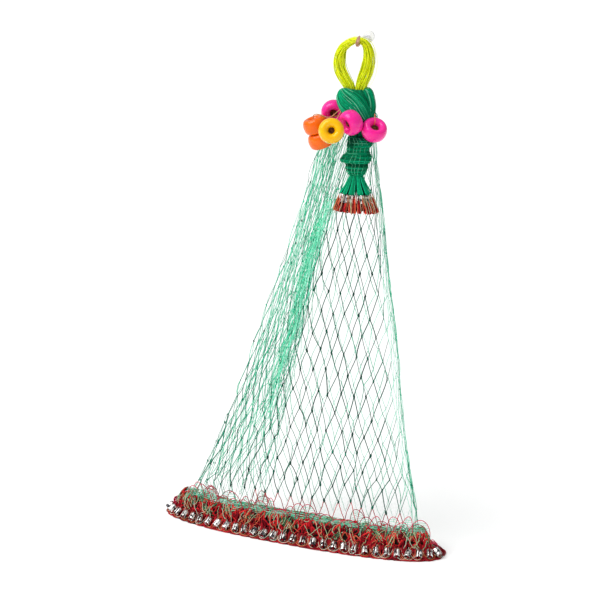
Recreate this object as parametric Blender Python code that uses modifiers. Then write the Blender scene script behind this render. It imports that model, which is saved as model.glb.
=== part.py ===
"""A throw net hung by its hand line on a wall hook, with its weighted foot on the floor.

The frame: the origin is the middle of the hook's wall face, +X runs along the foot to the
right, +Y goes into the wall and +Z is up. Tables are in millimetres, everything else in
metres. Pieces that touch keep a gap of GAP to each other.
"""

import math
from collections import namedtuple

import bmesh
import bpy
from mathutils import Matrix, Vector

MM = 0.001
GAP = 0.3 * MM
WELD_DISTANCE = 0.001 * MM
FLOOR = -780.0 * MM

# The hook: a round foot plate on the wall and a wire of one thickness, tapered at its tip.
HOOK_PLATE_RADIUS = 9.0 * MM
HOOK_PLATE_THICKNESS = 3.0 * MM
HOOK_PLATE_SIDES = 28
HOOK_WIRE_RADIUS = 3.0 * MM
HOOK_WIRE_ROUNDNESS = 2
HookPoint = namedtuple("HookPoint", "x y z taper")
HOOK_ROUTE = (
    HookPoint(0, -1, 0, 1.0),
    HookPoint(0, -16, 0, 1.0),
    HookPoint(0, -28, -0.8, 1.0),
    HookPoint(0, -36, -4.5, 1.0),
    HookPoint(0, -42, -8.2, 1.0),
    HookPoint(1, -47, -8.9, 1.0),
    HookPoint(3, -52, -7.0, 1.0),
    HookPoint(5, -55.5, -2.5, 1.0),
    HookPoint(7, -57.5, 2.0, 0.8),
    HookPoint(9.5, -59, 5.6, 0.35),
)

# The hand line, wound into a hank that hangs on the hook as a long loop.
HANK_Y = -45.0 * MM
HANK_STEPS = 3
HANK_POINTS_ROUND = 14
HANK_TURNS = 3
HANK_RIDGES = 5
HANK_RIDGE_DEPTH = 0.05
HankRow = namedtuple("HankRow", "x z width depth")
HANK_ROWS = (
    HankRow(0.5, -1.7, 7.6, 15),
    HankRow(11, -5.5, 11, 14),
    HankRow(16.6, -15, 15, 14),
    HankRow(18.2, -30, 18.2, 14),
    HankRow(15.0, -46, 20.5, 14.5),
    HankRow(9.6, -59, 19.6, 14.5),
    HankRow(5.8, -72, 15.6, 13),
    HankRow(3.6, -86, 13.6, 12),
    HankRow(-4.6, -96, 11, 11),
    HankRow(-12.8, -86, 13.6, 12),
    HankRow(-12.2, -72, 14.8, 13),
    HankRow(-19.6, -59, 18.6, 14.5),
    HankRow(-26.6, -46, 20, 14.5),
    HankRow(-28.2, -32, 18, 14),
    HankRow(-23.5, -15, 14.5, 14),
    HankRow(-11, -5.0, 11, 14),
)

# The crown of the net, folded over and knotted: a core with two folds laid round it.
CORE_POINTS_ROUND = 18
FOLD_POINTS_ROUND = 12
FOLD_STEPS = 2
LevelRow = namedtuple("LevelRow", "z left right front back lobe")
KNOT_CORE = (
    LevelRow(-74, -12, 11, -56, -37, 0),
    LevelRow(-80, -19, 17, -60, -33, 0),
    LevelRow(-92, -20, 23, -62, -31, 0),
    LevelRow(-106, -19, 24, -62, -30, 0),
    LevelRow(-120, -17, 22, -62, -30, 0),
    LevelRow(-133, -14, 20, -61, -32, 0),
    LevelRow(-143, -9, 18, -60, -38, 0),
)
FoldRow = namedtuple("FoldRow", "x y z width thickness")
KNOT_FRONT_FOLD = (
    FoldRow(-22, -49, -77, 10, 9),
    FoldRow(-17.5, -56, -82, 24, 15),
    FoldRow(-8, -62, -90, 34, 17),
    FoldRow(4, -65, -99, 38, 17),
    FoldRow(13, -63, -109, 34, 16),
    FoldRow(18, -56, -118, 22, 13),
    FoldRow(20, -50, -125, 8, 6),
)
KNOT_BACK_FOLD = (
    FoldRow(9.5, -43, -74, 5, 7),
    FoldRow(16, -43, -77, 12, 15),
    FoldRow(20.5, -43, -90, 12.5, 18),
    FoldRow(21, -43, -105, 12.5, 18),
    FoldRow(18, -45, -118, 10, 15),
    FoldRow(13, -47, -127, 4, 7),
)

# The small gathered net under the knot: pleats, a bulb, a tied neck and a fluted skirt.
TAIL_LOBES = 12
TAIL_POINTS_TO_A_LOBE = 4
TAIL_SQUARENESS = 0.85
TAIL_ROWS = (
    LevelRow(-143.3, -7, 20, -68, -46, 0.02),
    LevelRow(-147, -7.5, 27, -71, -45, 0.04),
    LevelRow(-150.5, -8, 31, -72, -45, 0.03),
    LevelRow(-155, -8, 29, -73, -45, 0.04),
    LevelRow(-160.5, -8.5, 25.5, -71, -46, 0.03),
    LevelRow(-166, -9.5, 26.5, -73, -45, 0.04),
    LevelRow(-171.5, -15.5, 29.5, -72, -46, 0.03),
    LevelRow(-177, -19.5, 29, -73, -46, 0.03),
    LevelRow(-180, -19.5, 26.5, -71, -47, 0.03),
    LevelRow(-183, -11.5, 23.5, -68, -49, 0.02),
    LevelRow(-188, -10.5, 24, -73, -45, 0.05),
    LevelRow(-193.5, -9.5, 21.5, -72.5, -45, 0.07),
    LevelRow(-198, -5.5, 18.5, -70, -48, 0.10),
    LevelRow(-201.5, -2.5, 16.5, -67.5, -51, 0.12),
    LevelRow(-205, -4.5, 19, -69, -50, 0.14),
    LevelRow(-212, -10, 25, -73.5, -47, 0.22),
    LevelRow(-219, -16, 29.5, -78, -45, 0.28),
    LevelRow(-226.3, -22, 33, -82, -44, 0.34),
)
TAIL_FOOT_X = 7.0 * MM
TAIL_FOOT_Y = -64.0 * MM
TAIL_SINKER_TOP = -226.6 * MM
TAIL_SINKER_LENGTH = 13.0 * MM
TAIL_SINKER_RADIUS = 2.8 * MM
TAIL_SINKER_WALL = 0.8 * MM
TAIL_SINKER_SLIT_DEGREES = 30.0
TAIL_SINKER_SIDES = 8
TAIL_SINKERS_SHOWN = 9
TAIL_SINKER_FIRST_DEGREES = 190.0
TAIL_SINKER_SWEEP_DEGREES = 160.0
TAIL_SINKER_RING = (23.5 * MM, 15.0 * MM)
TAIL_LINE_RING = (31.5 * MM, 16.6 * MM)
TAIL_LINE_STATIONS = 30
TAIL_LINE_BREADTH = 0.62
TAIL_LINE_LUMPS = 10
TAIL_LINE_LUMP_DEPTH = 0.08
RingPoint = namedtuple("RingPoint", "out up")
TAIL_LINE_SECTION = (
    RingPoint(-11, 0),
    RingPoint(4, 0),
    RingPoint(6.5, -4),
    RingPoint(8, -10),
    RingPoint(5, -15.5),
    RingPoint(-4, -16),
    RingPoint(-8, -11),
    RingPoint(-10, -5),
)

# The floats: moulded rings, each hung on a twine through its hole.
FLOAT_RADIUS = 19.0 * MM
FLOAT_HOLE_RADIUS = 5.0 * MM
FLOAT_THICKNESS = 23.0 * MM
FLOAT_SIDES = 24
FLOAT_SECTION_SIDES = 12
TWINE_RADIUS = 0.7 * MM
TWINE_ROUNDNESS = 1
TWINE_STEPS = 3
FloatRow = namedtuple("FloatRow", "name colour x y z axis_x axis_y axis_z")
FLOATS = (
    FloatRow("float_magenta_rear", "magenta", -35, -51, -109.5, 0.39, -0.90, -0.20),
    FloatRow("float_magenta_centre", "magenta", 6.3, -82, -118.5, -0.45, -0.84, -0.32),
    FloatRow("float_magenta_right", "magenta", 35.3, -62, -130.3, 0.43, -0.53, 0.73),
    FloatRow("float_yellow", "yellow", -11.8, -112, -127.8, 0.41, -0.88, 0.24),
    FloatRow("float_orange_upper", "orange", -49.5, -84, -125.1, -0.26, -0.20, 0.94),
    FloatRow("float_orange_lower", "orange", -43.3, -79.3, -147.4, -0.26, -0.20, 0.94),
)
TwinePoint = namedtuple("TwinePoint", "x y z")
TWINES = {
    "twine_rear": (
        TwinePoint(-10, -50, -106),
        TwinePoint(-17, -57, -109.5),
        TwinePoint(-23, -64, -112.5),
        TwinePoint(-28.5, -65.5, -112.9),
        TwinePoint(-32, -58.5, -111.3),
        TwinePoint(-35, -51, -109.5),
        TwinePoint(-38, -44.2, -107.9),
        TwinePoint(-41, -37.5, -107),
        TwinePoint(-44, -33, -109),
        TwinePoint(-46, -31, -113),
    ),
    "twine_orange": (
        TwinePoint(-11, -54, -95),
        TwinePoint(-15.6, -61, -99.3),
        TwinePoint(-20.6, -71, -105.8),
        TwinePoint(-27, -79, -112.3),
        TwinePoint(-32.8, -84, -112.3),
        TwinePoint(-39.6, -87, -109.4),
        TwinePoint(-46, -88, -108.3),
        TwinePoint(-51, -87.2, -110),
        TwinePoint(-52.5, -86.3, -114.5),
        TwinePoint(-49.5, -84, -125.1),
        TwinePoint(-46.4, -81.6, -136.2),
        TwinePoint(-43.3, -79.3, -147.4),
        TwinePoint(-40.2, -76.9, -158.5),
    ),
    "twine_yellow": (
        TwinePoint(-11, -55, -99),
        TwinePoint(-16.3, -63, -102.1),
        TwinePoint(-16.5, -70, -107.9),
        TwinePoint(-17.5, -79, -115),
        TwinePoint(-18.7, -88, -121.5),
        TwinePoint(-18.4, -95.5, -126.6),
        TwinePoint(-16.8, -101.2, -127.7),
        TwinePoint(-12.2, -111.1, -124.0),
        TwinePoint(-10.1, -115.5, -122.8),
    ),
    "twine_centre": (
        TwinePoint(13, -57, -108),
        TwinePoint(14, -63.5, -110.5),
        TwinePoint(12.3, -70.7, -114.2),
        TwinePoint(9.3, -76.4, -116.4),
        TwinePoint(6.3, -82, -118.5),
        TwinePoint(2.2, -89.6, -121.4),
    ),
    "twine_right": (
        TwinePoint(15, -48, -124),
        TwinePoint(20.5, -49, -134),
        TwinePoint(24.5, -50.5, -141.5),
        TwinePoint(29.2, -55, -140),
        TwinePoint(31.3, -57.2, -134),
        TwinePoint(33.5, -59.8, -127.7),
        TwinePoint(36, -63.3, -121),
        TwinePoint(38.2, -66.2, -116.3),
        TwinePoint(37.2, -64.6, -111.5),
        TwinePoint(35.5, -61.5, -106.5),
    ),
}

# The net: one cloth that runs round a flat tent, with its left side tucked in as a fold.
NET_THICKNESS = 1.6 * MM
NET_POINTS_ROUND = 52
NET_LEVELS = 16
NET_WAVES = 9
NET_WAVE_DEPTH = 3.2
NET_TUCK_WAVE_SHARE = 0.25
NET_BACK_PHASE = 2.0
NET_FRONT_LIMIT = 0.08
NET_BACK_LIMIT = 0.93
NET_SECTION_STEPS = 8
NET_SECTION_WEIGHTS = (5.0, 1.0)
NET_CLEARANCE_THICKNESS = NET_THICKNESS + 2.5 * GAP
NET_CLEARANCE_PAST_ENDS = 0.9
NetRow = namedtuple("NetRow", "z left right front back")
NET_ROWS = (
    NetRow(-100, -16, 20, -29.4, -12),
    NetRow(-125, -38, 22, -30.4, -12),
    NetRow(-160, -68, 20, -37, -12),
    NetRow(-200, -78, 26, -39, -13),
    NetRow(-260, -96, 36, -41, -14),
    NetRow(-350, -124, 49, -52, -18),
    NetRow(-450, -157, 67, -64, -22),
    NetRow(-550, -189, 80, -76, -26),
    NetRow(-650, -225, 97, -87, -30),
    NetRow(-745, -268, 121, -98, -36),
)
SectionPoint = namedtuple("SectionPoint", "across through")
NET_SECTION = (
    SectionPoint(1.00, 0.50),
    SectionPoint(0.97, 0.12),
    SectionPoint(0.85, 0.00),
    SectionPoint(0.60, 0.02),
    SectionPoint(0.35, 0.03),
    SectionPoint(0.10, 0.02),
    SectionPoint(0.00, 0.12),
    SectionPoint(0.02, 0.26),
    SectionPoint(0.15, 0.30),
    SectionPoint(0.27, 0.34),
    SectionPoint(0.30, 0.48),
    SectionPoint(0.27, 0.60),
    SectionPoint(0.15, 0.63),
    SectionPoint(0.03, 0.66),
    SectionPoint(0.00, 0.80),
    SectionPoint(0.05, 0.96),
    SectionPoint(0.20, 1.00),
    SectionPoint(0.50, 0.98),
    SectionPoint(0.80, 1.00),
    SectionPoint(0.96, 0.90),
)

# The foot: a flat-bottomed ring of lead-line cord, netting bunched inside it, and sinkers.
FOOT_CENTRE = Vector((-79.4 * MM, -70.0 * MM, FLOOR))
FOOT_HALF_LENGTH = 240.0 * MM
FOOT_HALF_DEPTH = 59.5 * MM
FOOT_ROUNDNESS = 2.4
FOOT_STATIONS = 64
FOOT_OUTLINE_STEPS = 720
LEAD_LINE_SECTION = (
    RingPoint(0, 0),
    RingPoint(-8, 5.6),
    RingPoint(-16, 11.2),
    RingPoint(-20, 12.0),
    RingPoint(-23.5, 9),
    RingPoint(-24, 0),
)
Lump = namedtuple("Lump", "depth count phase")
NETTING_LUMPS = (Lump(0.07, 9, 0.0), Lump(0.06, 23, 1.0))
NETTING_LUMPS_ABOVE = 14.0
NETTING_BACK_ABOVE = 15.0
NETTING_BACK_KEPT = 0.25
NETTING_BACK_START = 0.3
NETTING_BACK_RISE = 1.6
NETTING_INNER = (184.0 * MM, 16.0 * MM)
NETTING_OUTER = (215.0 * MM, 34.6 * MM)
NETTING_SECTION = (
    RingPoint(0.00, 0),
    RingPoint(1.00, 0),
    RingPoint(1.00, 10),
    RingPoint(1.10, 13),
    RingPoint(1.22, 15),
    RingPoint(1.20, 21),
    RingPoint(1.05, 28),
    RingPoint(0.80, 33),
    RingPoint(0.45, 36),
    RingPoint(0.12, 30),
    RingPoint(-0.05, 15),
)
SINKER_RADIUS = 5.0 * MM
SINKER_WALL = 0.9 * MM
SINKER_SLIT_DEGREES = 26.0
SINKER_SIDES = 9
SINKER_LENGTH = 12.0 * MM
SINKER_TILT_DEGREES = 35.0
SINKER_LIP = 4.5 * MM
SINKERS_SHOWN = 30
SINKER_FIRST = 0.515
SINKER_LAST = 0.9905


# ---- materials and objects ---------------------------------------------------------------


def make_material(name, colour, roughness, metallic=0.0):
    """A Principled material of one colour."""
    material = bpy.data.materials.new(name)
    material.use_nodes = True
    shader = material.node_tree.nodes["Principled BSDF"]
    shader.inputs["Base Color"].default_value = (*colour, 1.0)
    shader.inputs["Roughness"].default_value = roughness
    shader.inputs["Metallic"].default_value = metallic
    return material


def add_object(name, mesh, material, collection):
    """Puts a mesh in the scene as one named object."""
    mesh.materials.clear()
    mesh.materials.append(material)
    piece = bpy.data.objects.new(name, mesh)
    collection.objects.link(piece)
    return piece


def clear_scene():
    for old in list(bpy.data.objects):
        bpy.data.objects.remove(old)


def add_collections():
    """The collection of the part's pieces, and the one of its cutters."""
    parts = bpy.data.collections.new("fishing_net")
    cutters = bpy.data.collections.new("cutters")
    cutters.hide_render = True
    for collection in (parts, cutters):
        bpy.context.scene.collection.children.link(collection)
    return parts, cutters


# ---- curves through table rows -----------------------------------------------------------


def between(a, b, c, d, t):
    """The value at t between rows b and c of a smooth curve through a, b, c and d."""
    return tuple(
        0.5 * (2 * q + (r - p) * t + (2 * p - 5 * q + 4 * r - s) * t**2 + (3 * q - p - 3 * r + s) * t**3)
        for p, q, r, s in zip(a, b, c, d)
    )


def row_numbers(row):
    return tuple(value for value in row if not isinstance(value, str))


def open_curve(rows, steps):
    """Rows of numbers along a smooth curve through the table, steps to each interval."""
    table = [row_numbers(row) for row in rows]
    last = len(table) - 1
    out = []
    for i in range(last):
        four = [table[max(0, min(last, i + k))] for k in (-1, 0, 1, 2)]
        out += [between(*four, step / steps) for step in range(steps)]
    return out + [table[last]]


def closed_curve(rows, steps):
    """As open_curve, for a table whose last row runs on into its first."""
    table = [row_numbers(row) for row in rows]
    count = len(table)
    out = []
    for i in range(count):
        four = [table[(i + k) % count] for k in (-1, 0, 1, 2)]
        out += [between(*four, step / steps) for step in range(steps)]
    return out


def evenly(points, count, weights):
    """Count points at even lengths round a closed line, with each axis weighted."""
    lengths = [0.0]
    for a, b in zip(points, points[1:] + points[:1]):
        step = math.dist([w * v for w, v in zip(weights, a)], [w * v for w, v in zip(weights, b)])
        lengths.append(lengths[-1] + step)
    out = []
    at = 0
    for k in range(count):
        wanted = lengths[-1] * k / count
        while lengths[at + 1] < wanted:
            at += 1
        share = (wanted - lengths[at]) / (lengths[at + 1] - lengths[at])
        a, b = points[at], points[(at + 1) % len(points)]
        out.append(tuple(p + (q - p) * share for p, q in zip(a, b)))
    return out


# ---- bodies ------------------------------------------------------------------------------


def loft(name, rings, round_trip=False):
    """A closed mesh through rings of equal counts: capped, or run round into its start."""
    form = bmesh.new()
    loops = [[form.verts.new(point) for point in ring] for ring in rings]
    pairs = list(zip(loops, loops[1:]))
    if round_trip:
        pairs.append((loops[-1], loops[0]))
    else:
        form.faces.new(loops[0])
        form.faces.new(loops[-1])
    count = len(loops[0])
    for a, b in pairs:
        for i in range(count):
            j = (i + 1) % count
            form.faces.new((a[i], a[j], b[j], b[i]))
    bmesh.ops.recalc_face_normals(form, faces=form.faces)
    for face in form.faces:
        face.smooth = len(face.verts) == 4
    mesh = bpy.data.meshes.new(name)
    form.to_mesh(mesh)
    form.free()
    return mesh


def fattened(mesh, by, name):
    """A copy of a mesh whose points are moved out along their normals."""
    form = bmesh.new()
    form.from_mesh(mesh)
    form.normal_update()
    moved = [(vertex, vertex.co + vertex.normal * by) for vertex in form.verts]
    for vertex, place in moved:
        vertex.co = place
    out = bpy.data.meshes.new(name)
    form.to_mesh(out)
    form.free()
    return out


def add_cutter(name, mesh, cutters, matrix=None):
    """A hidden object that only cuts others."""
    cutter = bpy.data.objects.new(name, mesh)
    cutter.hide_render = True
    cutter.display_type = "WIRE"
    if matrix is not None:
        cutter.matrix_world = matrix
    cutters.objects.link(cutter)
    return cutter


def boolean(piece, operation, other):
    """A Boolean modifier that stays on the piece."""
    change = piece.modifiers.new(f"{operation.lower()}_{other.name}", "BOOLEAN")
    change.operation = operation
    change.solver = "EXACT"
    change.object = other


def clear_of(piece, others, cutters):
    """Cuts a soft piece back so that it clears each other piece by GAP."""
    for other in others:
        mesh = fattened(other.data, GAP, f"{other.name}_clearance")
        cutter = add_cutter(f"{piece.name}_off_{other.name}", mesh, cutters, other.matrix_world.copy())
        boolean(piece, "DIFFERENCE", cutter)


def mesh_of_curve(name, curve):
    """The closed mesh that a curve with a thickness makes."""
    guide = bpy.data.objects.new(name, curve)
    bpy.context.scene.collection.objects.link(guide)
    graph = bpy.context.evaluated_depsgraph_get()
    mesh = bpy.data.meshes.new_from_object(guide.evaluated_get(graph))
    bpy.data.objects.remove(guide)
    form = bmesh.new()
    form.from_mesh(mesh)
    bmesh.ops.remove_doubles(form, verts=form.verts, dist=WELD_DISTANCE)
    bmesh.ops.recalc_face_normals(form, faces=form.faces)
    form.to_mesh(mesh)
    form.free()
    return mesh


def wire_mesh(name, points, radius, tapers, roundness):
    """A round wire with closed ends."""
    curve = bpy.data.curves.new(name, "CURVE")
    curve.dimensions = "3D"
    curve.bevel_depth = radius
    curve.bevel_resolution = roundness
    curve.use_fill_caps = True
    spline = curve.splines.new("POLY")
    spline.points.add(len(points) - 1)
    for knot, place, taper in zip(spline.points, points, tapers):
        knot.co = (*place, 1.0)
        knot.radius = taper
    mesh = mesh_of_curve(name, curve)
    mesh.shade_smooth()
    return mesh


def level_rings(rows, points_round, lobes, squareness):
    """Flat rings from a table of levels, each a rounded box with vertical flutes."""
    rings = []
    for z, left, right, front, back, lobe in rows:
        middle = Vector(((left + right) / 2, (front + back) / 2, z)) * MM
        half_x = (right - left) / 2 * MM
        half_y = (back - front) / 2 * MM
        ring = []
        for k in range(points_round):
            angle = 2 * math.pi * k / points_round
            flute = 1 - lobe * (0.5 - 0.5 * math.cos(lobes * angle))
            across = math.copysign(abs(math.cos(angle)) ** squareness, math.cos(angle))
            through = math.copysign(abs(math.sin(angle)) ** squareness, math.sin(angle))
            ring.append(middle + Vector((across * half_x, through * half_y, 0)) * flute)
        rings.append(ring)
    return rings


def fold_rings(rows):
    """Rings along a fold's own line, wide across it and thin away from the core."""
    fine = open_curve(rows, FOLD_STEPS)
    line = [Vector(row[:3]) * MM for row in fine]
    sizes = [row[3:] for row in fine]
    rings = []
    for i, (place, (width, thickness)) in enumerate(zip(line, sizes)):
        along = (line[min(i + 1, len(line) - 1)] - line[max(i - 1, 0)]).normalized()
        out = Vector((0, -1, 0))
        side = along.cross(out).normalized()
        out = side.cross(along).normalized()
        ring = []
        for k in range(FOLD_POINTS_ROUND):
            angle = 2 * math.pi * k / FOLD_POINTS_ROUND
            reach = side * math.cos(angle) * width + out * math.sin(angle) * thickness
            ring.append(place + reach * (0.5 * MM))
        rings.append(ring)
    return rings


# ---- the sub-parts -----------------------------------------------------------------------


def make_hook(material, parts, cutters):
    """The hook: its wire, joined to the plate that lies on the wall."""
    rows = open_curve(HOOK_ROUTE, 2)
    points = [Vector(row[:3]) * MM for row in rows]
    tapers = [row[3] for row in rows]
    wire = wire_mesh("wall_hook", points, HOOK_WIRE_RADIUS, tapers, HOOK_WIRE_ROUNDNESS)
    hook = add_object("wall_hook", wire, material, parts)
    bpy.ops.mesh.primitive_cylinder_add(
        vertices=HOOK_PLATE_SIDES,
        radius=HOOK_PLATE_RADIUS,
        depth=HOOK_PLATE_THICKNESS,
    )
    plate = bpy.context.object
    turn = Matrix.Rotation(math.radians(90), 4, "X")
    plate.data.transform(Matrix.Translation((0, -HOOK_PLATE_THICKNESS / 2, 0)) @ turn)
    joined = add_cutter("hook_plate", plate.data, cutters)
    bpy.data.objects.remove(plate)
    boolean(hook, "UNION", joined)
    return hook


def make_hank(material, parts):
    """The hand line's hank: one closed loop with the shallow ridges of its twisted turns."""
    rows = closed_curve(HANK_ROWS, HANK_STEPS)
    count = len(rows)
    rings = []
    for i, (x, z, width, depth) in enumerate(rows):
        before, after = rows[i - 1], rows[(i + 1) % count]
        along = Vector((after[0] - before[0], 0, after[1] - before[1])).normalized()
        side = Vector((along.z, 0, -along.x))
        ring = []
        for k in range(HANK_POINTS_ROUND):
            angle = 2 * math.pi * k / HANK_POINTS_ROUND
            twist = 2 * math.pi * HANK_TURNS * i / count
            ridge = 1 + HANK_RIDGE_DEPTH * math.cos(HANK_RIDGES * angle + twist)
            reach = side * math.cos(angle) * width + Vector((0, 1, 0)) * math.sin(angle) * depth
            ring.append(Vector((x * MM, HANK_Y, z * MM)) + reach * (0.5 * MM * ridge))
        rings.append(ring)
    return add_object("hand_line_hank", loft("hand_line_hank", rings, round_trip=True), material, parts)


def make_knot(material, parts, cutters):
    """The knotted crown: core and two folds joined into one body."""
    core = loft("crown_knot", level_rings(KNOT_CORE, CORE_POINTS_ROUND, 1, 1.0))
    knot = add_object("crown_knot", core, material, parts)
    for name, rows in (("front_fold", KNOT_FRONT_FOLD), ("back_fold", KNOT_BACK_FOLD)):
        fold = loft(name, fold_rings(rows))
        boolean(knot, "UNION", add_cutter(name, fold, cutters))
    return knot


def make_tail(material, parts):
    """The small gathered net below the knot."""
    rings = level_rings(TAIL_ROWS, TAIL_LOBES * TAIL_POINTS_TO_A_LOBE, TAIL_LOBES, TAIL_SQUARENESS)
    return add_object("tail_netting", loft("tail_netting", rings), material, parts)


def rolled_tube_mesh(name, radius, wall, slit_degrees, length, sides):
    """A strip rolled into a tube that stays open along one side, its axis along Z."""
    curve = bpy.data.curves.new(name, "CURVE")
    curve.dimensions = "2D"
    curve.fill_mode = "BOTH"
    curve.extrude = length / 2
    start = math.radians(slit_degrees / 2)
    sweep = 2 * math.pi - 2 * start
    angles = [start + sweep * k / sides for k in range(sides + 1)]
    outer = [(radius * math.cos(a), radius * math.sin(a)) for a in angles]
    inner = [((radius - wall) * math.cos(a), (radius - wall) * math.sin(a)) for a in reversed(angles)]
    spline = curve.splines.new("POLY")
    spline.points.add(len(outer + inner) - 1)
    for knot, (x, y) in zip(spline.points, outer + inner):
        knot.co = (x, y, 0, 1)
    spline.use_cyclic_u = True
    return mesh_of_curve(name, curve)


def make_tail_sinkers(material, parts):
    """The small tubes that show at the front of the tail's foot."""
    mesh = rolled_tube_mesh(
        "tail_sinker",
        TAIL_SINKER_RADIUS,
        TAIL_SINKER_WALL,
        TAIL_SINKER_SLIT_DEGREES,
        TAIL_SINKER_LENGTH,
        TAIL_SINKER_SIDES,
    )
    for k in range(TAIL_SINKERS_SHOWN):
        share = k / (TAIL_SINKERS_SHOWN - 1)
        angle = math.radians(TAIL_SINKER_FIRST_DEGREES + TAIL_SINKER_SWEEP_DEGREES * share)
        x = TAIL_FOOT_X + TAIL_SINKER_RING[0] * math.cos(angle)
        y = TAIL_FOOT_Y + TAIL_SINKER_RING[1] * math.sin(angle)
        tube = add_object(f"tail_sinker_{k + 1:02d}", mesh, material, parts)
        tube.location = (x, y, TAIL_SINKER_TOP - TAIL_SINKER_LENGTH / 2)
        tube.rotation_euler = (0, 0, angle)


def make_tail_line(material, parts):
    """The ring of corded loops that the tail's tubes stand in."""
    top = TAIL_SINKER_TOP - TAIL_SINKER_LENGTH - GAP
    rings = []
    for k in range(TAIL_LINE_STATIONS):
        angle = 2 * math.pi * k / TAIL_LINE_STATIONS
        out = Vector((math.cos(angle), math.sin(angle), 0))
        middle = Vector((TAIL_LINE_RING[0] * out.x, TAIL_LINE_RING[1] * out.y, 0))
        place = Vector((TAIL_FOOT_X, TAIL_FOOT_Y, top)) + middle
        lump = 1 + TAIL_LINE_LUMP_DEPTH * math.cos(TAIL_LINE_LUMPS * angle)
        ring = []
        for p in TAIL_LINE_SECTION:
            ring.append(place + out * (p.out * TAIL_LINE_BREADTH * MM) + Vector((0, 0, p.up * MM * lump)))
        rings.append(ring)
    return add_object("tail_lead_line", loft("tail_lead_line", rings, round_trip=True), material, parts)


def make_floats(materials, parts):
    """The six ring floats, each turned so that its hole points along its own axis."""
    section_out = (FLOAT_RADIUS - FLOAT_HOLE_RADIUS) / 2
    bpy.ops.mesh.primitive_torus_add(
        major_radius=FLOAT_RADIUS - section_out,
        minor_radius=section_out,
        major_segments=FLOAT_SIDES,
        minor_segments=FLOAT_SECTION_SIDES,
    )
    ring = bpy.context.object
    mesh = ring.data
    mesh.transform(Matrix.Diagonal((1, 1, FLOAT_THICKNESS / 2 / section_out, 1)))
    mesh.shade_smooth()
    bpy.data.objects.remove(ring)
    floats = {}
    for row in FLOATS:
        own = mesh.copy()
        piece = add_object(row.name, own, materials[row.colour], parts)
        axis = Vector((row.axis_x, row.axis_y, row.axis_z))
        turn = axis.to_track_quat("Z", "Y").to_matrix().to_4x4()
        piece.matrix_world = Matrix.Translation(Vector((row.x, row.y, row.z)) * MM) @ turn
        floats[row.name] = piece
    return floats


def make_twines(material, parts):
    """The twines that hang the floats on the knot, with their own short ends."""
    twines = []
    for name, route in TWINES.items():
        points = [Vector(row) * MM for row in open_curve(route, TWINE_STEPS)]
        mesh = wire_mesh(name, points, TWINE_RADIUS, [1.0] * len(points), TWINE_ROUNDNESS)
        twines.append(add_object(name, mesh, material, parts))
    return twines


def net_point(across, through, z):
    """A point of the net's cloth, z in millimetres, with its hanging waves."""
    index = 0
    while index < len(NET_ROWS) - 2 and z < NET_ROWS[index + 1].z:
        index += 1
    here, after = NET_ROWS[index], NET_ROWS[index + 1]
    share = (z - here.z) / (after.z - here.z)
    last = len(NET_ROWS) - 1
    four = [NET_ROWS[max(0, min(last, index + k))] for k in (-1, 0, 1, 2)]
    _, left, right, front, back = between(*four, share)
    down = (z - NET_ROWS[0].z) / (NET_ROWS[-1].z - NET_ROWS[0].z)
    outer_wall = through < NET_FRONT_LIMIT or through > NET_BACK_LIMIT
    depth = NET_WAVE_DEPTH * down * (1.0 if outer_wall else NET_TUCK_WAVE_SHARE)
    phase = 0.0 if through < 0.5 else NET_BACK_PHASE
    wave = depth * math.sin(NET_WAVES * math.pi * across + phase)
    return Vector((left + (right - left) * across, front + (back - front) * through + wave, z)) * MM


def net_mesh(name, past_ends=0.0):
    """The open cloth of the net before its thickness, past_ends millimetres longer at both ends."""
    fine = closed_curve(NET_SECTION, NET_SECTION_STEPS)
    section = evenly(fine, NET_POINTS_ROUND, NET_SECTION_WEIGHTS)
    top, foot = NET_ROWS[0].z + past_ends, NET_ROWS[-1].z - past_ends
    form = bmesh.new()
    loops = []
    for level in range(NET_LEVELS):
        z = top + (foot - top) * level / (NET_LEVELS - 1)
        loops.append([form.verts.new(net_point(across, through, z)) for across, through in section])
    for a, b in zip(loops, loops[1:]):
        for i in range(NET_POINTS_ROUND):
            j = (i + 1) % NET_POINTS_ROUND
            form.faces.new((a[i], a[j], b[j], b[i]))
    for face in form.faces:
        face.smooth = True
    mesh = bpy.data.meshes.new(name)
    form.to_mesh(mesh)
    form.free()
    return mesh


def thicken(piece, thickness):
    shell = piece.modifiers.new("cloth", "SOLIDIFY")
    shell.thickness = thickness
    shell.offset = 0.0
    shell.use_even_offset = True


def make_net(material, parts):
    net = add_object("net", net_mesh("net"), material, parts)
    thicken(net, NET_THICKNESS)
    return net


def clear_of_net(piece, cutters):
    """Cuts a piece back so that it clears the net's cloth and its edges."""
    edge = add_cutter(f"{piece.name}_off_net", net_mesh("net_clearance", NET_CLEARANCE_PAST_ENDS), cutters)
    thicken(edge, NET_CLEARANCE_THICKNESS)
    boolean(piece, "DIFFERENCE", edge)


def foot_outline(count):
    """Even stations round the foot's outer edge: each its point and outward direction."""
    fine = []
    for k in range(FOOT_OUTLINE_STEPS):
        angle = 2 * math.pi * k / FOOT_OUTLINE_STEPS
        x = math.copysign(abs(math.cos(angle)) ** (2 / FOOT_ROUNDNESS), math.cos(angle))
        y = math.copysign(abs(math.sin(angle)) ** (2 / FOOT_ROUNDNESS), math.sin(angle))
        fine.append((FOOT_HALF_LENGTH * x, FOOT_HALF_DEPTH * y))
    points = evenly(fine, count, (1.0, 1.0))
    out = []
    for i, (x, y) in enumerate(points):
        before, after = points[i - 1], points[(i + 1) % count]
        along = Vector((after[0] - before[0], after[1] - before[1], 0)).normalized()
        out.append((FOOT_CENTRE + Vector((x, y, 0)), Vector((along.y, -along.x, 0))))
    return out


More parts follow.
